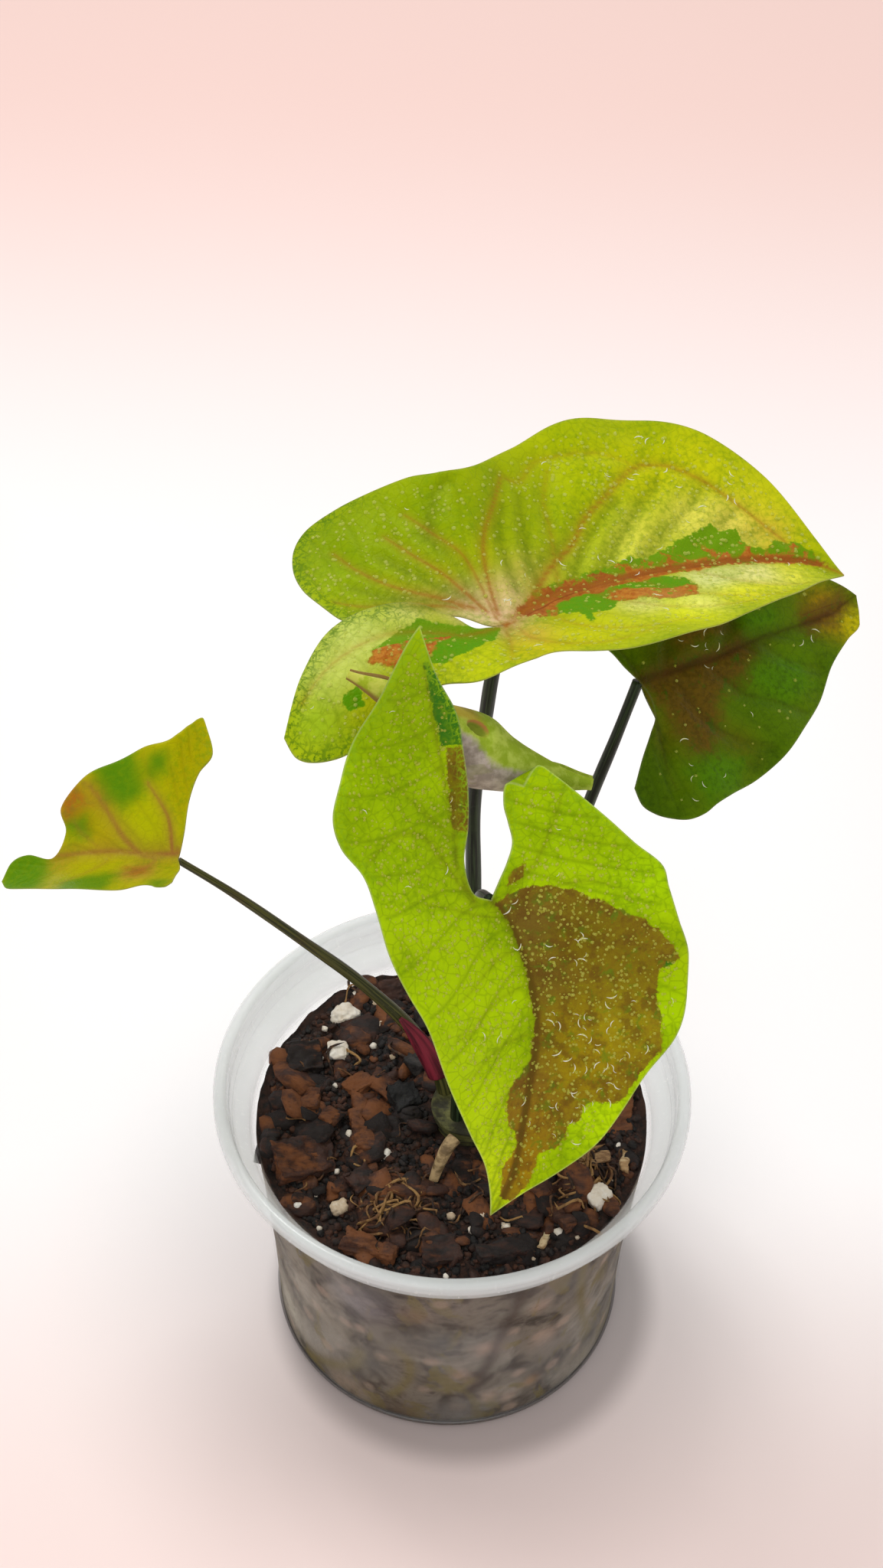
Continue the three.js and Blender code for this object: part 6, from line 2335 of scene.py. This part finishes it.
class Syngonium:
    """The whole plant in its cup."""

    def __init__(self) -> None:
        """Gathers the finishes that several pieces share."""
        self.finishes = {
            "bark": ChipFinish("bark", "#150905", "#371a0c", "#70401c", (0.4, 1, 1.8), 0.45).build(),
            "charcoal": ChipFinish("charcoal", "#0a0908", "#1a1716", "#3a3532", (1, 1, 1), 0.6).build(),
            "perlite": ChipFinish("perlite", "#c4ae92", "#e4d8c6", "#f4eee4", (1, 1, 1), 0.4, 0.4,
                                  pits=0.2).build(),
            "wood": ChipFinish("pale wood", "#7a5a3a", "#b08c60", "#dcc69c", (0.4, 1.2, 1.2), 0.7).build(),
            "soil": ChipFinish("crumbs", "#0a0605", "#1e110b", "#4a2a1a", (1, 1, 1), 0.7).build(),
            "fibre": ChipFinish("husk fibre", "#2c1a0e", "#644020", "#a07a48", (1, 1, 1), 0.6).build(),
        }

    def chips(self) -> list[Chip]:
        """All loose chips, each with a tone of its own.

        Returns:
            The chips.
        """
        kinds = {"bark": ChipKind.BARK, "char": ChipKind.CHARCOAL, "perl": ChipKind.PERLITE,
                 "wood": ChipKind.WOOD, "husk": ChipKind.WOOD}
        chosen = [node for node in sorted(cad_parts) if node[:4] in kinds]
        tones = np.random.default_rng(4).uniform(0, 1, len(chosen))
        return [Chip(node, kinds[node[:4]], float(tone), rough=0.5 if node[:4] == "bark" else 0.3)
                for node, tone in zip(chosen, tones)]

    def blades(self) -> list[Blade]:
        """The four open leaves' blades.

        Returns:
            The blades.
        """
        top = LeafFinish("top leaf", base="#9cae04", bright="#adba08", shade="#70920a", vein="#a0601c",
                         groove="#627404", sector="#c4802c", sector_dark="#aa5c18", fleck="#5f9a04",
                         patch="#5a9604", rim="#2f6610", under="#b9c878", vein_share=0.8, groove_shade_share=0.4,
                         sector_edge=0.35, fleck_share=0.9, pale_line=0.05, hollow_shade_share=0.6,
                         fleck_rise=0.065, rib_dark="#7a2e12", border_mark=0.8)
        front = LeafFinish("front leaf", base="#9abc03", bright="#aed004", shade="#6c9204", vein="#5c5212",
                           groove="#627e06", sector="#80641a", sector_dark="#8c7a18", fleck="#4c861a",
                           patch="#36761a", rim="#8fb81a", under="#a8c070", vein_share=0.75, groove_shade_share=0.5,
                           web_share=0.45, fleck_share=0.5, pale_line=0.2, rib_dark="#64401a",
                           veil_share=0.55)
        right = LeafFinish("right leaf", base="#4a6a05", bright="#5c7c06", shade="#2e4602", vein="#382808",
                           groove="#2a4606", sector="#5c4814", sector_dark="#6e5416", fleck="#38600a",
                           patch="#558604", rim="#33560f", under="#7a8a52", roughness=0.3, gloss=0.1,
                           sector_edge=2.4, patch_edge=2.4, ragged=6.0, fleck_share=0.8, pale_line=0.05)
        left = LeafFinish("left leaf", base="#b0a802", bright="#b6b204", shade="#789604", vein="#9c5e34",
                          groove="#8c8410", sector="#ac6c1c", sector_dark="#9c7420", fleck="#98960c",
                          patch="#5c8a0a", rim="#8aa018", under="#b4b46a", sector_edge=1.8, patch_edge=2.2,
                          ragged=3.4, pale_line=0.05)
        # Painted light: the dew is a pale yellow-green and the streaks a near white, laid half-clear over the
        # leaves for the light the water catches.
        dew = WaterFinish("dew on the top leaf", "#d6dc50", "#e8ec80", 0.34)
        pale_dew = WaterFinish("dew on the front leaf", "#d0d048", "#e4e46c", 0.4)
        water_glint = WaterFinish("wet streaks", "#f2f4c0", "#fdfdf0", 0.8, 0.1, 0.4)
        return [
            Blade("top_leaf", "blade_top", "top_blade", TOP_SHAPE, top, TOP_VEINS, TOP_GROOVES,
                  TOP_BROWN + TOP_GREEN[:1], TOP_GREEN, TOP_TINTS, TOP_DEEP,
                  wet_spots=(((50, 24), 6), ((38, 31), 4), ((24, 10), 4), ((4, 9), 4), ((-24, 24), 3),
                             ((-34, -6), 4)), laterals=15, border=(-6, -20), border_width=2.6,
                  quilt=0.6, puff=3.0, dew=dew, drops=0.4, drop_size=(0.14, 0.42), water_glint=water_glint, streaks=0.1,
                  seed=3),
            Blade("front_leaf", "blade_front", "front_blade", FRONT_SHAPE, front, FRONT_VEINS, (),
                  FRONT_BROWN, FRONT_GREEN, FRONT_TINTS, FRONT_DEEP,
                  wet_spots=(((30, 17), 6), ((24, 14), 5), ((8, 12), 3), ((22, -4), 3), ((38, 12), 4),
                             ((-32, -18), 2)), laterals=14, quilt=0.24, dew=pale_dew, drops=0.9,
                  drop_size=(0.12, 0.32), water_glint=water_glint, streaks=0.26, seed=5),
            Blade("right_leaf", "blade_right", "right_blade", RIGHT_SHAPE, right, RIGHT_VEINS, (),
                  RIGHT_BROWN, RIGHT_GREEN, RIGHT_TINTS,
                  wet_spots=(((4, -15), 3), ((3, -19), 3), ((6, -20), 3), ((22, -15), 3), ((39, -1), 4),
                             ((14, 4), 4)), quilt=0.5, dew=dew, drops=0.05, water_glint=water_glint, streaks=0.16, steps=11,
                  columns=40, seed=8),
            Blade("left_leaf", "blade_left", "left_blade", LEFT_SHAPE, left, LEFT_VEINS, (), LEFT_BROWN,
                  LEFT_GREEN, LEFT_TINTS, quilt=0.4, steps=9, columns=34, seed=11),
        ]

    def stems(self) -> list[Stem]:
        """The petioles, the new leaf's stalk, the crown and the aerial root.

        Returns:
            The stems.
        """
        green = StemFinish("petiole skin", "#10180d", "#35452c", "#2c3a20")
        olive = StemFinish("left petiole skin", "#2c3016", "#5c5a2c", "#4c3a22")
        crown = RootFinish("crown skin", "#2c2a16", "#6a6a36", 1.4)
        root = RootFinish("root skin", "#6c5636", "#b89c70", 0.8)
        foot = 57
        rolled_seat = self.stalk_end
        return [
            Stem("top_petiole", "petiole_top", "stem",
                 ((4.6, 3.2, foot), (4.2, 5.6, 84), (2.9, 8.2, 111.5), (2.4, 9.4, 134.5), (3.8, 9.6, 153.2),
                  (4.7, 9.8, 163), tuple(TOP_SHAPE.under_origin(0.6))), (1.7, 1.15), green),
            Stem("front_petiole", "petiole_front", "stem",
                 ((4.4, -4.8, foot), (4.2, -9.5, 90), (3.6, -15.6, 120),
                  tuple(FRONT_SHAPE.under_origin(5.25)), tuple(FRONT_SHAPE.under_origin(0.6))), (1.6, 1.0),
                  green),
            Stem("right_petiole", "petiole_right", "stem",
                 ((7.2, -0.4, foot), (12.8, 6.4, 90), (22.6, 15.6, 127.8), (26.4, 18.2, 141),
                  tuple(RIGHT_SHAPE.under_origin(0.5))), (1.55, 1.0), green),
            Stem("left_petiole", "petiole_left", "stem", self.left_petiole, self.left_radii, olive),
            Stem("rolled_leaf_stalk", "new_leaf_stalk", "stem",
                 ((1, -3.2, foot), (1, -5.2, 90), (0.9, -7.2, 128), rolled_seat(5), rolled_seat(-0.3)),
                 (1.35, 1.1), green),
            Stem("crown", "crown_stem", "crown",
                 ((3.2, -0.6, 42), (3.2, -0.6, 48), (3.2, -0.6, 55), (3.2, -0.6, 60.6)), (5.4, 7.3), crown,
                 steps=50, sides=60, swell=0.05),
            Stem("side_root", "aerial_root", "root",
                 ((0.6, -9.2, 61.6), (-0.6, -10.6, 61), (-2.2, -13, 58.4), (-3.4, -14.8, 54.6),
                  (-3.9, -15.6, 50)),
                 (1.35, 1.1), root, steps=60, swell=0.12),
        ]

    @property
    def left_petiole(self) -> tuple:
        """The points of the left petiole."""
        return ((-0.6, 1.8, 57), (-2.8, 4.2, 65), (-7.8, 6.8, 73.6), (-17.5, 8.8, 85), (-27.2, 9.3, 95.2),
                (-40, 9.4, 108.6), tuple(LEFT_SHAPE.under_origin(0.5)))

    @property
    def left_radii(self) -> tuple[float, float]:
        """The left petiole's radii at its foot and at its blade."""
        return (1.6, 0.65)

    def stalk_end(self, below: float) -> tuple[float, float, float]:
        """The place that far below the thickest part of the rolled leaf.

        Args:
            below: How far below, in millimetres.

        Returns:
            The place.
        """
        leaf = RolledLeaf()
        part = 3 / (len(leaf.spine) - 1)
        centre = centripetal(leaf.spine, np.array([part]))[0]
        ahead, behind = centripetal(leaf.spine, np.array([part + 1e-4, part - 1e-4]))
        return tuple(centre - cross_axes(unit(ahead - behind))[1] * (leaf.radii[3] + below))

    def build(self) -> None:
        """Builds every sub-assembly in order."""
        cup = Cup()
        cup.build()
        GrowingMix(cup).build(self.finishes)
        for chip in self.chips():
            chip.build(self.finishes)
        for stem in self.stems():
            stem.build()
        Sheath(self.left_petiole, self.left_radii).build()
        for blade in self.blades():
            blade.build()
        RolledLeaf().build()


def main() -> None:
    """Builds the studio and the plant."""
    Studio().build()
    Syngonium().build()


if __name__ == "__main__":
    main()
